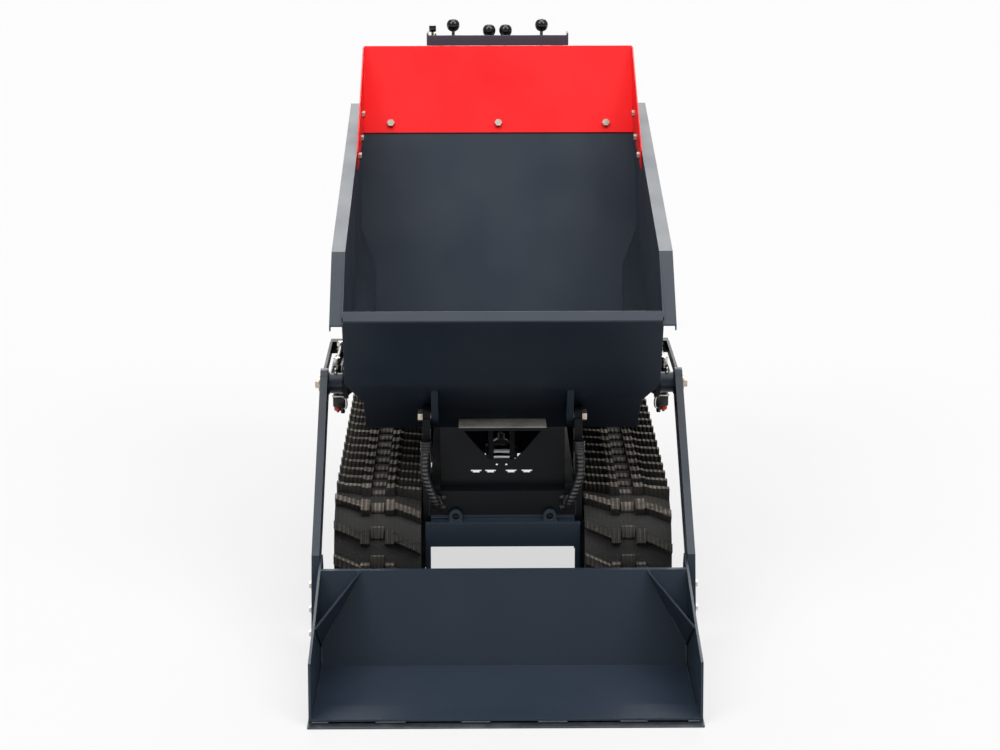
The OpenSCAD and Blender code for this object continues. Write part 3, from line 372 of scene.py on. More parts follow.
def soften(node, radius_mm, finish):
    bm = bmesh.new()
    bm.from_mesh(frame["nodes"][node].data)
    bmesh.ops.remove_doubles(bm, verts=bm.verts, dist=MERGE)
    bmesh.ops.dissolve_limit(bm, angle_limit=math.radians(FLAT_DEG), verts=bm.verts, edges=bm.edges)
    sharp = [e for e in bm.edges if len(e.link_faces) == 2 and e.calc_face_angle(0.0) > math.radians(BEVEL_DEG)]
    bmesh.ops.bevel(bm, geom=sharp, offset=radius_mm / 1000.0, offset_type="OFFSET", affect="EDGES",
                    segments=2, profile=0.5, material=-1, clamp_overlap=True, loop_slide=True)
    piece = dress(bm, "rounded_" + node, BODY_OF[node], finish)
    keep_flats(piece)
    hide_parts(node)
    return piece


# The radius of each solid's edges in millimetres, and its finish.
ROUNDED = {
    "chassis_rails": (2.0, chassis_grey), "cross_members": (1.5, chassis_grey), "front_plate": (1.0, chassis_grey),
    "front_beam": (1.5, anthracite), "lift_frame_left": (1.5, chassis_grey), "lift_frame_right": (1.5, chassis_grey),
    "track_beam_left": (2.0, chassis_grey), "track_beam_right": (2.0, chassis_grey),
    "skip_tub": (0.9, anthracite), "skip_subframe": (1.0, anthracite), "spill_guard": (0.8, signal_red),
    "lift_arm_left": (1.5, anthracite), "lift_arm_right": (1.5, anthracite), "shovel": (1.0, anthracite),
    "cutting_edge": (1.5, edge_steel), "engine_deck": (1.5, chassis_grey), "engine_block": (3.0, cast_alloy),
    "fan_cover": (3.0, engine_black), "fuel_tank": (6.0, engine_black), "muffler": (4.0, hot_steel),
    "air_filter": (5.0, black_plastic), "hydraulic_pump": (2.0, cast_alloy), "hydraulic_tank": (4.0, chassis_grey),
    "console_frame": (2.0, console_grey), "console_panel": (1.0, console_grey), "control_valve": (1.5, cast_iron),
    "final_drives": (2.0, cast_iron), "rest_pads": (2.0, buffer_rubber),
}
for solid, (radius, finish) in ROUNDED.items():
    soften(solid, radius, finish)
print("rounded copies", len(ROUNDED))

# %% [markdown]
# Round parts, bolts and plated pieces already have the right shape. They could be copied too, but a copy would add
# nothing to the eye, so their solids stay and only get a finish.

# %% Finishes on the solids that stay
STAYING = {
    "pivot_pins": dull_zinc, "guard_bolts": dull_zinc, "shovel_bolts": zinc, "lift_barrels": cylinder_black,
    "tip_barrel": cylinder_black, "lift_rods": chrome, "tip_rod": chrome, "starter_grip": black_plastic,
    "fuel_cap": black_plastic, "tank_cap": black_plastic, "throttle_lever": yellow_zinc,
}
for side in ("left", "right"):
    STAYING["sprocket_" + side] = cast_iron
    STAYING["idler_" + side] = cast_iron
    for number in (1, 2, 3):
        STAYING["roller_%s_%d" % (side, number)] = cast_iron
for work in ("left_drive", "right_drive", "skip", "shovel"):
    STAYING["lever_" + work] = chrome
    STAYING["knob_" + work] = knob_plastic
for solid, finish in STAYING.items():
    frame["nodes"][solid].data.materials.clear()
    frame["nodes"][solid].data.materials.append(finish)
print("finished solids", len(STAYING))

# %% [markdown]
# ## The rubber tracks
# The belts get rounder lugs and an attribute that rises from 0 on the belt to 1 on a lug's face. The belt runs
# round two wheels, so its surface is a constant distance from the line between the wheel centres. The ribs on a
# lug's crown could be left to a bump, but grooves show in the outline and stay in the mesh itself. Each crown is
# cut along three lines at every rib, and the middle line is pushed in, so that a groove lies between two ribs.

# %% Grooved tracks
TRACK_X, WHEEL_Z, IDLER_Y, SPROCKET_Y, BELT_R = 0.260, 0.145, -0.287, 0.553, 0.125
RIB_PITCH, GROOVE_HALF, GROOVE_DEEP, CROWN = RIB_MM / 1000.0, 0.0022, 0.0016, 0.0175
LUG_ROUND_MM, LUG_RISE = 2.5, 0.006


def standing_out(at):
    along = min(max(at.y, IDLER_Y), SPROCKET_Y)
    arm = Vector((0.0, at.y - along, at.z - WHEEL_Z))
    return arm.length - BELT_R, arm.normalized()


def groove(piece):
    bm = bmesh.new()
    bm.from_mesh(piece.data)
    first, last = (round(f(v.co.x for v in bm.verts) / RIB_PITCH) for f in (min, max))
    for k in range(first, last + 1):
        for shift in (-GROOVE_HALF, 0.0, GROOVE_HALF):
            crown = [f for f in bm.faces if all(standing_out(v.co)[0] > CROWN for v in f.verts)]
            parts = dict.fromkeys([e for f in crown for e in f.edges] + [v for f in crown for v in f.verts] + crown)
            line = bmesh.ops.bisect_plane(bm, geom=list(parts), dist=1e-6, plane_co=(k * RIB_PITCH + shift, 0, 0),
                                          plane_no=(1, 0, 0))["geom_cut"]
            if shift == 0.0:
                for vertex in (v for v in line if isinstance(v, bmesh.types.BMVert)):
                    vertex.co -= standing_out(vertex.co)[1] * GROOVE_DEEP
    bm.to_mesh(piece.data)
    bm.free()
    piece.data.set_sharp_from_angle(angle=math.radians(SMOOTH_DEG))


def track(node):
    piece = soften(node, LUG_ROUND_MM, belt_rubber)
    groove(piece)
    lug = piece.data.attributes.new("lug", "FLOAT", "POINT")
    for vertex in piece.data.vertices:
        lug.data[vertex.index].value = min(max(standing_out(vertex.co)[0] / LUG_RISE, 0.0), 1.0)
    return piece


belts = [track("track_left"), track("track_right")]
print("belt faces", [len(belt.data.polygons) for belt in belts])

# %% [markdown]
# Between the two rows of lugs the steel cores push the rubber up into a low pad at every pitch of 60 mm. An Array
# modifier along a curve could place them. Here a small function walks round the belt instead, because one block set
# down at each stop is easy to count and to keep in step with the lugs.

# %% Pads along the middle of the belts
PADS = 41
PAD_SIZE, PAD_ROUND, PAD_DEG, PAD_LUG_SHARE = (0.029, 0.028, 0.010), 0.0028, 50.0, 0.75


def belt_place(along):
    run = SPROCKET_Y - IDLER_Y
    half = math.pi * BELT_R
    along = along % (2 * run + 2 * half)
    if along < run:
        return IDLER_Y + along, WHEEL_Z + BELT_R, 0.0
    if along < run + half:
        turn = (along - run) / BELT_R
        return SPROCKET_Y + BELT_R * math.sin(turn), WHEEL_Z + BELT_R * math.cos(turn), turn
    if along < 2 * run + half:
        return SPROCKET_Y - (along - run - half), WHEEL_Z - BELT_R, math.pi
    turn = math.pi + (along - 2 * run - half) / BELT_R
    return IDLER_Y + BELT_R * math.sin(turn), WHEEL_Z + BELT_R * math.cos(turn), turn


STEP = (2 * (SPROCKET_Y - IDLER_Y) + 2 * math.pi * BELT_R) / PADS
bm = bmesh.new()
for side in (-1, 1):
    for k in range(PADS):
        y, z, turn = belt_place(k * STEP)
        place = Matrix.Translation((side * TRACK_X, y, z)) @ Matrix.Rotation(-turn, 4, "X")
        pad = bmesh.ops.create_cube(bm, size=1.0, matrix=place @ Matrix.Diagonal((*PAD_SIZE, 1.0)))["verts"]
        bmesh.ops.bevel(bm, geom=edges_of(pad), offset=PAD_ROUND, affect="EDGES", segments=2, profile=0.5,
                        material=-1)
pads = dress(bm, "belt_pads", BODY_OF["track_left"], belt_rubber, PAD_DEG)
# The pads count as three quarters of a lug, so they take the lugs' dust and painted light.
pads.data.attributes.new("lug", "FLOAT", "POINT").data.foreach_set("value", [PAD_LUG_SHARE] * len(pads.data.vertices))
print("pads", 2 * PADS, "one every", round(STEP * 1000.0, 1), "mm")

# %% [markdown]
# ## Hydraulic hoses
# Each hose is a fixed length of wire-braided rubber between two crimped ends. It could be a mesh tube, but a curve
# with a round bevel stays even in every bend and can tell its own length. The route is first smoothed by a line that
# passes through every point, so a hose leaves its fitting straight.

# %% A hose
def through(route, steps=4):
    # Each stretch between two points bends by their neighbours.
    points = [Vector(at) for at in route]
    line = []
    for i in range(len(points) - 1):
        before, here = points[max(i - 1, 0)], points[i]
        there, after = points[i + 1], points[min(i + 2, len(points) - 1)]
        for k in range(steps):
            t = k / steps
            line.append(0.5 * (2 * here + (there - before) * t + (2 * before - 5 * here + 4 * there - after) * t * t
                               + (3 * here - before - 3 * there + after) * t * t * t))
    return line + [points[-1]]


def swept(name, body, route, radius_mm, finish):
    curve = bpy.data.curves.new(name, "CURVE")
    curve.dimensions = "3D"
    curve.bevel_depth = radius_mm / 1000.0
    curve.bevel_resolution = 5
    curve.use_fill_caps = True
    line = curve.splines.new("NURBS")
    points = through(route)
    line.points.add(len(points) - 1)
    for control, at in zip(line.points, points):
        control.co = (at[0] / 1000.0, at[1] / 1000.0, at[2] / 1000.0, 1.0)
    line.use_endpoint_u = True
    line.order_u = 3
    line.resolution_u = 4
    tube = bpy.data.objects.new(name, curve)
    scene.collection.objects.link(tube)
    curve.materials.append(finish)
    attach(tube, body)
    return tube


def hose(name, route, radius_mm, finish):
    tube = swept(name, "chassis", route, radius_mm, finish)
    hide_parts("hydraulic_hoses")


print("a route of 7 points becomes a line of", len(through([(0, 0, k) for k in range(7)])))

# %% Hoses in place
HOSE_R, VALVE_HOSE_R = 9, 8
front_route = [(158, -362, 390), (161, -368, 366), (160, -376, 338), (152, -382, 312), (142, -384, 288),
               (137, -376, 276), (136, -358, 274)]
hose("front_hose_right", front_route, HOSE_R, guard_polythene)
hose("front_hose_left", [(-x, y, z) for x, y, z in front_route], HOSE_R, guard_polythene)
hose("pump_hose", [(136, 630.4, 440), (136, 646, 440), (134, 684, 452), (118, 724, 520), (108, 736, 700),
                   (108, 758, 790), (108, 786, 846), (108, 792, 874), (108, 792, 899.6)], HOSE_R, hose_rubber)
hose("suction_hose", [(136, 630.4, 400), (137, 648, 400), (160, 720, 378), (198, 746, 352), (210, 732, 350),
                      (210, 714.4, 350)], HOSE_R, hose_rubber)
for side, x in (("left", -20), ("right", 20)):
    hose("valve_hose_" + side, [
        (x, 792, 899.6), (x, 792, 872), (x * 1.1, 782, 820), (x * 1.5, 744, 700), (x * 2, 730, 480),
        (x * 2, 727, 400), (x * 2, 726, 340), (x * 2, 726, 313)], VALVE_HOSE_R, hose_rubber)

# %% [markdown]
# ## Weld seams
# The shovel is welded from plates. A seam is a row of overlapping ripples. A bumpy tube would look too regular at
# its ends, so a ring of points is pushed along the joint, and every other ring is drawn in a little. Stitch welds,
# short runs with gaps, hold the cutting edge.

# %% A welded seam
RIPPLE_MM, SWELL, END_SWELL = 4.5, (1.35, 0.74), 0.8
BEAD_POINTS, BEAD_START, BEAD_DEG = 7, 0.7, 80.0


def ring_matrix(at_mm, axis):
    return Matrix.Translation(Vector(at_mm) / 1000.0) @ Vector(axis).to_track_quat("Z", "Y").to_matrix().to_4x4()


def weld(bm, start, end, radius_mm):
    start, end = Vector(start), Vector(end)
    count = max(3, int((end - start).length / RIPPLE_MM))
    step = (end - start) / count / 1000.0
    ring = bmesh.ops.create_circle(bm, segments=BEAD_POINTS, radius=radius_mm * BEAD_START / 1000.0,
                                   matrix=ring_matrix(start, end - start))["verts"]
    edges = edges_of(ring)
    first = list(edges)
    for k in range(count):
        grown = bmesh.ops.extrude_edge_only(bm, edges=edges)["geom"]
        ring = [g for g in grown if isinstance(g, bmesh.types.BMVert)]
        edges = [g for g in grown if isinstance(g, bmesh.types.BMEdge) and g.verts[0] in ring and g.verts[1] in ring]
        bmesh.ops.translate(bm, verts=ring, vec=step)
        centre = sum((v.co for v in ring), Vector()) / len(ring)
        swell = SWELL[k % 2] if k < count - 1 else END_SWELL
        bmesh.ops.scale(bm, verts=ring, vec=(swell, swell, swell), space=Matrix.Translation(-centre))
    bmesh.ops.holes_fill(bm, edges=first + edges, sides=0)


def seams(name, body, lines, radius_mm):
    bm = bmesh.new()
    for start, end in lines:
        weld(bm, start, end, radius_mm)
    bmesh.ops.recalc_face_normals(bm, faces=bm.faces)
    return dress(bm, name, body, weld_metal, BEAD_DEG)


print("ripples on 100 mm of seam", int(100 / RIPPLE_MM))

# %% Seams in place
STITCHES = ((-368, -336), (-247, -190), (-84, -30), (61, 116), (217, 269), (345, 368))
HUB_Y, HUB_Z, HUB_R, HUB_STEP, HUB_STEPS = -100, 464, 24, 0.5, 13


def both_sides(lines):
    return [((s * a[0],) + a[1:], (s * b[0],) + b[1:]) for s in (-1, 1) for a, b in lines]


def on_hub(turn):
    return 373, HUB_Y + HUB_R * math.sin(turn), HUB_Z + HUB_R * math.cos(turn)


shovel_lines = both_sides([((367, -846, 7.5), (367, -606, 7.5)), ((367, -604, 8), (367, -593, 46)),
                           ((367, -594, 47), (367, -754, 142)), ((291, -550, 188), (366, -593, 47))])
edge_lines = [((a, -906, 8.0), (b, -906, 8.0)) for a, b in STITCHES]
hub_lines = both_sides([(on_hub(k * HUB_STEP), on_hub(k * HUB_STEP + HUB_STEP)) for k in range(HUB_STEPS)])
frame_lines = both_sides([((152, -345, 240), (152, -345, 292)), ((149, -351, 238), (95, -351, 238)),
                          ((144, 758, 313), (132, 758, 313)), ((131, 792, 313), (159, 792, 313))])
WELDED = [("shovel_seams", "loader", shovel_lines, 3.2), ("edge_stitches", "loader", edge_lines, 3.0),
          ("hub_seams", "loader", hub_lines, 2.2), ("frame_seams", "chassis", frame_lines, 2.6)]
for name, body, lines, bead_mm in WELDED:
    seams(name, body, lines, bead_mm)
    print(name, "has", len(lines), "runs")

# %% [markdown]
# ## Bolts, nuts and screws
# Hardware tells the eye how big a machine is. Bolts could be instances of one mesh, but a piece has to carry its
# own place, so one helper makes a flange bolt where it is wanted: a washer, a six-sided head and a bevel round its
# top. Each group of bolts is one piece that rides on the body it clamps.

# %% A bolt
WASHER, BOLT_DEG = 0.0016, 25.0
# Shares of the width across flats: how far a hexagon's corner lies from the middle, the washer's radius at its foot
# and top, and the bevel of the head.
HEX_CORNER, FOOT, TOP, HEAD_BEVEL = 0.577, 0.68, 0.66, 0.07


def bolt(bm, at_mm, axis, across_mm, height_mm):
    place = ring_matrix(at_mm, axis)
    bmesh.ops.create_cone(bm, cap_ends=True, segments=18, radius1=across_mm * FOOT / 1000.0,
                          radius2=across_mm * TOP / 1000.0, depth=WASHER,
                          matrix=place @ Matrix.Translation((0, 0, WASHER / 2)))
    head = bmesh.ops.create_cone(bm, cap_ends=True, segments=6, radius1=across_mm * HEX_CORNER / 1000.0,
                                 radius2=across_mm * HEX_CORNER / 1000.0, depth=height_mm / 1000.0,
                                 matrix=place @ Matrix.Translation((0, 0, WASHER + height_mm / 2000.0)))["verts"]
    up = place.to_3x3() @ Vector((0, 0, 1))
    middle = sum((v.co for v in head), Vector()) / len(head)
    top = [v for v in head if (v.co - middle).dot(up) > 0]
    rim = [e for e in edges_of(top) if e.verts[0] in top and e.verts[1] in top]
    bmesh.ops.bevel(bm, geom=rim, offset=across_mm * HEAD_BEVEL / 1000.0, affect="EDGES", segments=2, profile=0.5,
                    material=-1)


def hardware(name, body, spots, finish):
    bm = bmesh.new()
    for at, axis, across, height in spots:
        bolt(bm, at, axis, across, height)
    dress(bm, name, body, finish, BOLT_DEG)
    print(name, "has", len(spots))


print("a 13 mm head is", round(2 * 13 * HEX_CORNER, 1), "mm over its corners")

# %% Bolts in place
CRANK_Y, CRANK_Z = 580.0, 420.0
LEFT, RIGHT, FORWARD, BACK = (-1, 0, 0), (1, 0, 0), (0, -1, 0), (0, 1, 0)
UP, DOWN = (0, 0, 1), (0, 0, -1)


def around(count, radius, turn):
    angles = [turn + k * 2 * math.pi / count for k in range(count)]
    return [(radius * math.sin(angle), radius * math.cos(angle)) for angle in angles]


# Each spot is a place and an axis, then the width across flats and the height of the head, all in millimetres.
engine_spots = [((-248, CRANK_Y + a, CRANK_Z + b), LEFT, 8, 4) for a, b in around(8, 90, 0.2)]
engine_spots += [((-55 + s * 85, CRANK_Y + t * 100, 326), UP, 13, 8) for s in (-1, 1) for t in (-1, 1)]
engine_spots += [((x, y, 312), UP, 13, 7) for x, y in ((-286, 452), (-286, 780), (286, 740), (286, 780))]
engine_spots += [((150, CRANK_Y + a, CRANK_Z + b), RIGHT, 8, 5) for a, b in around(4, 20, 0.785)]
hardware("engine_bolts", "chassis", engine_spots, zinc)
console_spots = [((s * 154, y, 1096), UP, 10, 5) for s in (-1, 1) for y in (812, 838)]
console_spots += [((s * 118, 762, z), FORWARD, 10, 5) for s in (-1, 1) for z in (935, 965)]
console_spots += [((x, 822, z), BACK, 9, 5) for x in (-64, 0, 64) for z in (932, 968)]
hardware("console_bolts", "chassis", console_spots, zinc)
frame_spots = [((s * 125, -352, z), FORWARD, 10, 6) for s in (-1, 1) for z in (262, 284)]
frame_spots += [((s * 341, y, 329), (s, 0, 0), 12, 7) for s in (-1, 1) for y in (470, 560, 650, 740)]
hardware("frame_bolts", "chassis", frame_spots, black_zinc)

# %% [markdown]
# ## Hose ends and cylinder plumbing
# A crimped ferrule is turned from bar. A Screw modifier could turn it, but a spin in the mesh lets many fittings
# share one piece: a profile of radii and heights is spun once round its own axis, its seam and poles are merged, and
# it is moved to its place. The same lathe makes grease nipples, caps and plugs.

# %% A lathe
TURN_STEPS, POST_STEPS, TURNED_DEG = 24, 12, 35.0


def lathe(bm, profile, place, steps=TURN_STEPS):
    corners = [bm.verts.new((r / 1000.0, 0.0, h / 1000.0)) for r, h in profile]
    edges = [bm.edges.new(pair) for pair in zip(corners, corners[1:])]
    bmesh.ops.spin(bm, geom=corners + edges, axis=(0, 0, 1), cent=(0, 0, 0), dvec=(0, 0, 0),
                   angle=2 * math.pi, steps=steps, use_merge=True)
    turned, queue = dict.fromkeys(corners), list(corners)
    while queue:
        for edge in queue.pop().link_edges:
            for vertex in edge.verts:
                if vertex not in turned:
                    turned[vertex] = None
                    queue.append(vertex)
    bmesh.ops.remove_doubles(bm, verts=list(turned), dist=1e-6)
    bmesh.ops.transform(bm, matrix=place, verts=[v for v in turned if v.is_valid])


def fittings(name, body, finish, spots):
    bm = bmesh.new()
    for profile, at, axis in spots:
        lathe(bm, profile, ring_matrix(at, axis))
    bmesh.ops.recalc_face_normals(bm, faces=bm.faces)
    piece = dress(bm, name, body, finish, TURNED_DEG)
    return piece


print("one step of the lathe is", 360 / TURN_STEPS, "degrees")

# %% Ferrules and nipples
FERRULE = [(0, 0), (10, 0), (12, 1), (12, 5), (11, 6), (12, 7), (12, 11), (11, 12), (12, 13), (12, 17), (11, 18),
           (12, 19), (12, 23), (10, 24), (0, 24)]
NIPPLE = [(0, 0), (4.5, 0), (4.5, 3), (3, 4), (2, 7), (3.2, 8.5), (3.2, 10), (1.6, 12), (0, 12)]
front_spots = [(FERRULE, (s * 158, -362, 384), UP) for s in (-1, 1)]
front_spots += [(FERRULE, (s * 137, -376, 276), BACK) for s in (-1, 1)]
front_ends = fittings("front_ferrules", "chassis", black_zinc, front_spots)
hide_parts("hydraulic_hoses")
end_spots = [((108, 792, 872), UP), ((-20, 792, 872), UP), ((20, 792, 872), UP), ((136, 630, 440), BACK),
             ((136, 630, 400), BACK), ((210, 738, 350), FORWARD), ((-40, 726, 313), UP), ((40, 726, 313), UP)]
ends = fittings("hose_ferrules", "chassis", zinc, [(FERRULE, at, axis) for at, axis in end_spots])
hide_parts("hydraulic_hoses")
fittings("arm_nipples", "loader", zinc, [(NIPPLE, (s * 358, HUB_Y, 485), UP) for s in (-1, 1)])
print("ferrules", len(front_spots) + len(end_spots))

# %% [markdown]
# Each lift cylinder carries a black valve block under its rod end, with a bent steel pipe in front of it, a plug
# and a red dust cap below. Block, neck and plug are one casting, so they are one piece; the pipes are swept circles
# like the hoses. All of it swings with the barrel, so it rides on the barrel's body.

# %% Valve blocks
def block(bm, low, high, bevel_mm):
    low, high = Vector(low) / 1000.0, Vector(high) / 1000.0
    size = high - low
    place = Matrix.Translation((low + high) / 2) @ Matrix.Diagonal((*size, 1.0))
    made = bmesh.ops.create_cube(bm, size=1.0, matrix=place)["verts"]
    bmesh.ops.bevel(bm, geom=edges_of(made), offset=bevel_mm / 1000.0, affect="EDGES", segments=3, profile=0.5,
                    material=-1)


NECK = [(0, -4), (9, -4), (9, 20), (11, 22), (11, 30), (0, 30)]
PLUG = [(0, 0), (6.5, 0), (7, 1), (7, 8), (5, 9), (5, 16), (4, 18), (0, 18)]
bm = bmesh.new()
for s in (-1, 1):
    xs = sorted((s * 346, s * 373))
    block(bm, (xs[0], 34, 374), (xs[1], 60, 398), 2.5)
    lathe(bm, NECK, ring_matrix((s * 362, 47, 428), DOWN))
    lathe(bm, PLUG, ring_matrix((s * 352, 47, 375), DOWN))
bmesh.ops.recalc_face_normals(bm, faces=bm.faces)
valve_blocks = dress(bm, "valve_blocks", "lift_barrels", cylinder_black)
print("valve block faces", len(valve_blocks.data.polygons))

# %% Caps, ports and pipes of the lift cylinders
DUST_CAP = [(0, 0), (8, 0), (8.5, 1), (8.5, 10), (7, 12), (3, 13), (3, 16), (0, 16)]
PORT = [(0, -3), (9, -3), (9, 4), (7, 5), (7, 10), (8.5, 11), (8.5, 19), (6.5, 21), (0, 21)]
BLOCK_PIPE = [(374, 31, 400), (364, 30, 400), (352, 30, 400), (346, 30, 397), (343, 31, 390), (343, 34, 378),
              (346, 40, 370), (352, 46, 368)]
PORT_PIPE = [(362, 44, 480), (362, 56, 481), (362, 80, 480), (362, 120, 478), (362, 160, 477), (362, 183, 477)]
BLOCK_PIPE_R, PORT_PIPE_R = 2.6, 3.6
fittings("dust_caps", "lift_barrels", red_caps, [(DUST_CAP, (s * 363, 47, 375), DOWN) for s in (-1, 1)])
fittings("port_adaptors", "lift_barrels", zinc,
         [(PORT, (s * 362, y, 466), UP) for s in (-1, 1) for y in (38, 189)])
for side, s in (("left", -1), ("right", 1)):
    swept("block_pipe_" + side, "lift_barrels", [(s * x, y, z) for x, y, z in BLOCK_PIPE], BLOCK_PIPE_R, zinc)
    swept("port_pipe_" + side, "lift_barrels", [(s * x, y, z) for x, y, z in PORT_PIPE], PORT_PIPE_R, zinc)
print("lift cylinders plumbed, two pipes on each")

# %% [markdown]
# ## Engine trim
# The engine hides behind the skip, but anyone who walks round the machine sees it. A pressed guard with slots
# keeps hands off the muffler. Boolean cuts could make the slots; here a grid is inset face by face and the inner
# faces are cut away, which leaves clean quads, and a Solidify modifier gives the sheet its thickness. Turned posts
# hold it off the hot drum.

# %% Muffler guard
SHEET = 0.0016


def slotted(bm, columns, rows, place, width_mm, height_mm, rim_mm):
    stretch = Matrix.Diagonal((width_mm / 1000.0, height_mm / 1000.0, 1.0, 1.0))
    made = bmesh.ops.create_grid(bm, x_segments=columns, y_segments=rows, size=0.5, matrix=place @ stretch)["verts"]
    faces = list(dict.fromkeys(face for vertex in made for face in vertex.link_faces))
    bmesh.ops.inset_individual(bm, faces=faces, thickness=rim_mm / 1000.0, use_even_offset=True)
    bmesh.ops.delete(bm, geom=faces, context="FACES")


bm = bmesh.new()
slotted(bm, 3, 9, Matrix.Translation((0.114, 0.575, 0.5885)), 106, 126, 3.0)
facing_back = Matrix.Rotation(math.radians(90), 4, "X")
slotted(bm, 3, 5, Matrix.Translation((0.114, 0.6475, 0.5135)) @ facing_back, 106, 52, 2.6)
muffler_guard = dress(bm, "muffler_guard", "chassis", hot_steel)
sheet = muffler_guard.modifiers.new("sheet", "SOLIDIFY")
sheet.thickness = SHEET
sheet.offset = 0.0
TOP_POST = [(0, 0), (4, 0), (4, 8.6), (6, 8.8), (6, 11), (0, 12)]
BACK_POST = [(0, 0), (4, 0), (4, 7.6), (6, 7.8), (6, 10), (0, 11)]
bm = bmesh.new()
for x in (66, 162):
    for y in (520, 630):
        lathe(bm, TOP_POST, ring_matrix((x, y, 580), UP), POST_STEPS)
    lathe(bm, BACK_POST, ring_matrix((x, 640, 514), BACK), POST_STEPS)
bmesh.ops.recalc_face_normals(bm, faces=bm.faces)
dress(bm, "guard_posts", "chassis", zinc, TURNED_DEG)
print("guard faces", len(muffler_guard.data.polygons))

# %% [markdown]
# The fuel tank is two pressed shells, folded together round the middle. The fold is a thin bevelled frame that stands
# a few millimetres out of the tank. It could be a crease in the tank's own mesh, but a piece of its own keeps the
# tank's round corners whole.

# %% Tank seam
bm = bmesh.new()
block(bm, (-165, 497, 614), (55, 685, 619), 1.6)
bmesh.ops.recalc_face_normals(bm, faces=bm.faces)
tank_seam = dress(bm, "fuel_tank_seam", "chassis", engine_black)
print("tank seam faces", len(tank_seam.data.polygons))

# %% [markdown]
# The spark plug, the oil dipstick and the gauge on the oil tank are turned parts, so the lathe makes them as well.
# The plug's lead is a short length of stiff cable from the boot to the fan cover, and so it is swept like a hose.
# A moulded cap goes on the throttle lever's rod.

# %% Turned engine parts
BOOT = [(0, 0), (7, 0), (8, 2), (8, 6), (6.5, 8), (6.5, 20), (7.5, 22), (7.5, 30), (5, 34), (0, 34)]
SHELL = [(0, 0), (9, 0), (10, 1), (10, 3), (8, 4), (8, 9), (5, 10), (4.5, 14), (0, 14)]
DIPSTICK = [(0, 0), (9, 0), (9, 6), (12, 8), (13, 10), (13, 20), (11, 23), (4, 24), (0, 24)]
EYE = [(0, 0), (9, 0), (9, 2), (7, 3), (7, 6), (6, 7), (0, 7)]
THROTTLE_CAP = [(0, 0), (7.6, 0), (8.8, 2), (8.8, 11.5), (7.6, 15.5), (0, 17)]
LEAD_R = 3.2
fittings("spark_plug_shell", "chassis", zinc, [(SHELL, (-55, 648, 514), BACK)])
fittings("spark_plug_boot", "chassis", black_plastic, [(BOOT, (-55, 660, 514), BACK)])
lead_route = [(-55, 672, 514), (-55, 694, 514), (-64, 706, 509), (-92, 708, 496), (-124, 696, 480),
              (-148, 676, 466), (-164, 658, 458)]
lead = swept("plug_lead", "chassis", lead_route, LEAD_R, hose_rubber)
fittings("oil_dipstick", "chassis", black_plastic, [(DIPSTICK, (10, 675, 356), (0, 1, 0.25))])
fittings("oil_gauge", "chassis", zinc, [(EYE, (250, 700, z), BACK) for z in (392, 512)])
bm = bmesh.new()
lathe(bm, [(0, 0), (6, 0), (6, 106), (0, 106)], ring_matrix((250, 706, 399), UP))
bmesh.ops.recalc_face_normals(bm, faces=bm.faces)
dress(bm, "gauge_tube", "chassis", amber_oil)
fittings("throttle_cap", "throttle", knob_plastic, [(THROTTLE_CAP, (-158, 772, 1122.5), UP)])
print("plug lead in mm", round(lead.data.splines[0].calc_length() * 1000))

# %% [markdown]
# ## Rest pad
# The shelf behind the front plate carries a serrated galvanised pad. It is the one pale strip under the skip. A bump
# could draw its teeth, but they are seen edge on, so each tooth is a small bevelled bar on a thin sheet.

# %% Serrated pad
TEETH = range(-88, 89, 4)
bm = bmesh.new()
block(bm, (-91, -345, 430), (91, -279, 431), 0.3)
for x in TEETH:
    block(bm, (x - 1.2, -344, 431), (x + 1.2, -280, 432.6), 0.4)
dress(bm, "rest_pad", "chassis", galvanised)
print("pad with", len(TEETH), "teeth")

# %% [markdown]
# ## Floor and light
# The machine stands on a pale seamless floor, a sheet of matt paper with a faint fibre. More light would make it
# white but would bleach the paint, so for the camera the floor is partly a glow: it stays as pale as a studio sweep
# and keeps a soft shadow. The light it throws back up is that of a greyer sheet, so undersides stay dark.

# %% Floor
FLOOR_HALF = 40.0
GLOW_SHARE, GLOW_STRENGTH = 0.8, 0.865
bm = bmesh.new()
bmesh.ops.create_grid(bm, x_segments=1, y_segments=1, size=FLOOR_HALF)
floor_mesh = bpy.data.meshes.new("studio_floor")
bm.to_mesh(floor_mesh)
bm.free()
studio_floor = bpy.data.objects.new("studio_floor", floor_mesh)
scene.collection.objects.link(studio_floor)
# Paper sweep: almost white, with a fibre so faint that it only keeps the floor from looking like a void.
paper, tree, place, shader = begin("white_paper_sweep")
fibre = add(tree, "ShaderNodeTexNoise", {"Scale": per_mm(400), "Detail": 2.0}, {"Vector": place})
sheet_tone = add(tree, "ShaderNodeMix", {COLOUR_A: linear("#fbfbfb"), COLOUR_B: linear("#fdfdfd")},
                 {SHARE: fibre.outputs["Fac"]}, data_type="RGBA")
seen = add(tree, "ShaderNodeLightPath")
mirror = add(tree, "ShaderNodeMath", links={0: seen.outputs["Is Glossy Ray"], 1: seen.outputs["Is Transmission Ray"]},
             operation="MAXIMUM")
direct = add(tree, "ShaderNodeMath", links={0: seen.outputs["Is Camera Ray"], 1: mirror.outputs[0]},
             operation="MAXIMUM")
tint = add(tree, "ShaderNodeMix", {COLOUR_A: linear("#8c8c8c")},
           {SHARE: direct.outputs[0], COLOUR_B: sheet_tone.outputs[COLOUR_OUT]}, data_type="RGBA")
tree.links.new(tint.outputs[COLOUR_OUT], shader.inputs["Base Color"])
shader.inputs["Roughness"].default_value = 0.9
glow = add(tree, "ShaderNodeEmission", {"Color": linear("#fbfbfb"), "Strength": GLOW_STRENGTH})
share = add(tree, "ShaderNodeMath", {1: GLOW_SHARE}, {0: seen.outputs["Is Camera Ray"]}, operation="MULTIPLY")
mixed = add(tree, "ShaderNodeMixShader", links={0: share.outputs[0], 1: shader.outputs[0], 2: glow.outputs[0]})
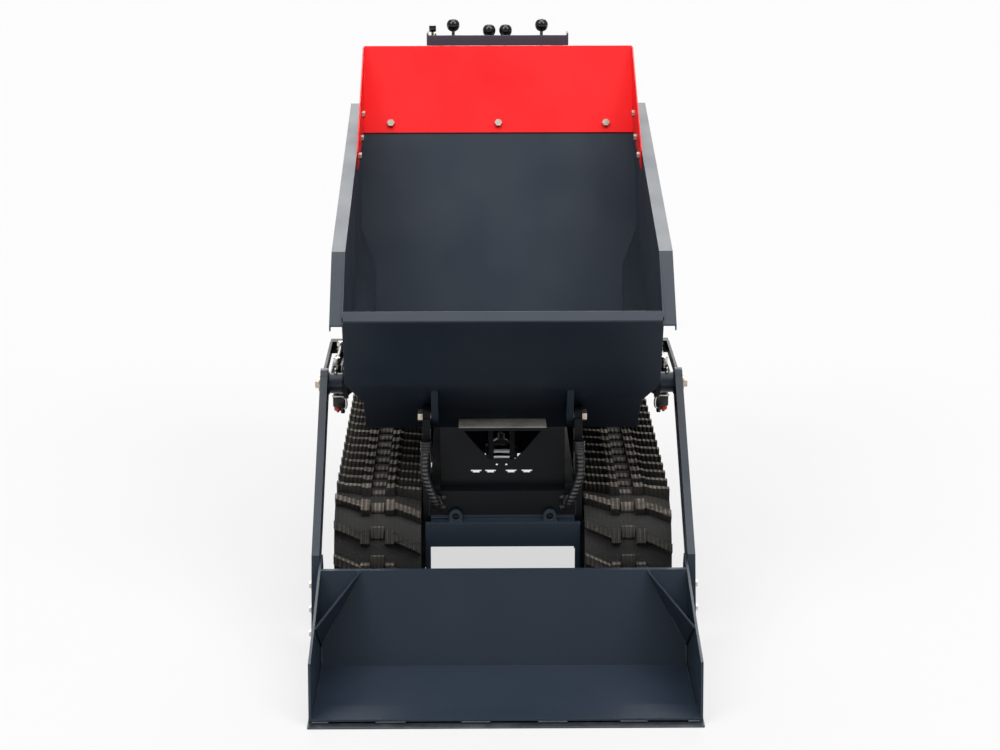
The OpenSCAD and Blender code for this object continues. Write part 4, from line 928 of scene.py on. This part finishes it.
tree.links.new(mixed.outputs[0], tree.nodes["Material Output"].inputs["Surface"])
floor_mesh.materials.append(paper)
print("floor", studio_floor.name, "in", paper.name)

# %% [markdown]
# A dim even sky fills the shadows. The camera sees it nearly white and shiny parts see it at half of that, while the
# light that it casts is much weaker still. One lit dome could do all the work, but it flattens the folds of the tub.

# %% Sky
SEEN_SKY, MIRRORED_SKY, LIT_SKY = 0.95, 0.45, 0.16
world = bpy.data.worlds.new("soft_sky")
scene.world = world
world.use_nodes = True
sky = world.node_tree
sky.nodes.clear()
ray = add(sky, "ShaderNodeLightPath")
mirrored = add(sky, "ShaderNodeMath", links={0: ray.outputs["Is Glossy Ray"], 1: ray.outputs["Is Transmission Ray"]},
               operation="MAXIMUM")
dim = add(sky, "ShaderNodeMapRange", {"To Min": LIT_SKY, "To Max": MIRRORED_SKY}, {"Value": mirrored.outputs[0]})
level = add(sky, "ShaderNodeMapRange", {"To Max": SEEN_SKY},
            {"Value": ray.outputs["Is Camera Ray"], "To Min": dim.outputs[0]})
dome = add(sky, "ShaderNodeBackground", {"Color": (1.0, 1.0, 1.0, 1.0)}, {"Strength": level.outputs[0]})
add(sky, "ShaderNodeOutputWorld", links={"Surface": dome.outputs[0]})
print("sky nodes", len(sky.nodes))

# %% [markdown]
# Four wide, soft suns stand for the lamps of a studio: one overhead, one from behind that draws the rims, and one
# from the front on each side. Area lamps would do as well, but a sun lights the machine evenly from end to end.

# %% Lamps
def sun(name, strength, aim, spread_deg):
    lamp = bpy.data.lights.new(name, "SUN")
    lamp.energy = strength
    lamp.angle = math.radians(spread_deg)
    rig = bpy.data.objects.new(name, lamp)
    scene.collection.objects.link(rig)
    rig.rotation_euler = Vector(aim).to_track_quat("-Z", "Y").to_euler()


sun("overhead_sun", 2.1, (0.0, 0.05, -1.0), 50.0)
sun("back_sun", 1.45, (0.0, -0.84, -0.54), 40.0)
sun("left_sun", 1.1, (0.52, 0.46, -0.72), 30.0)
sun("right_sun", 1.1, (-0.52, 0.46, -0.72), 30.0)
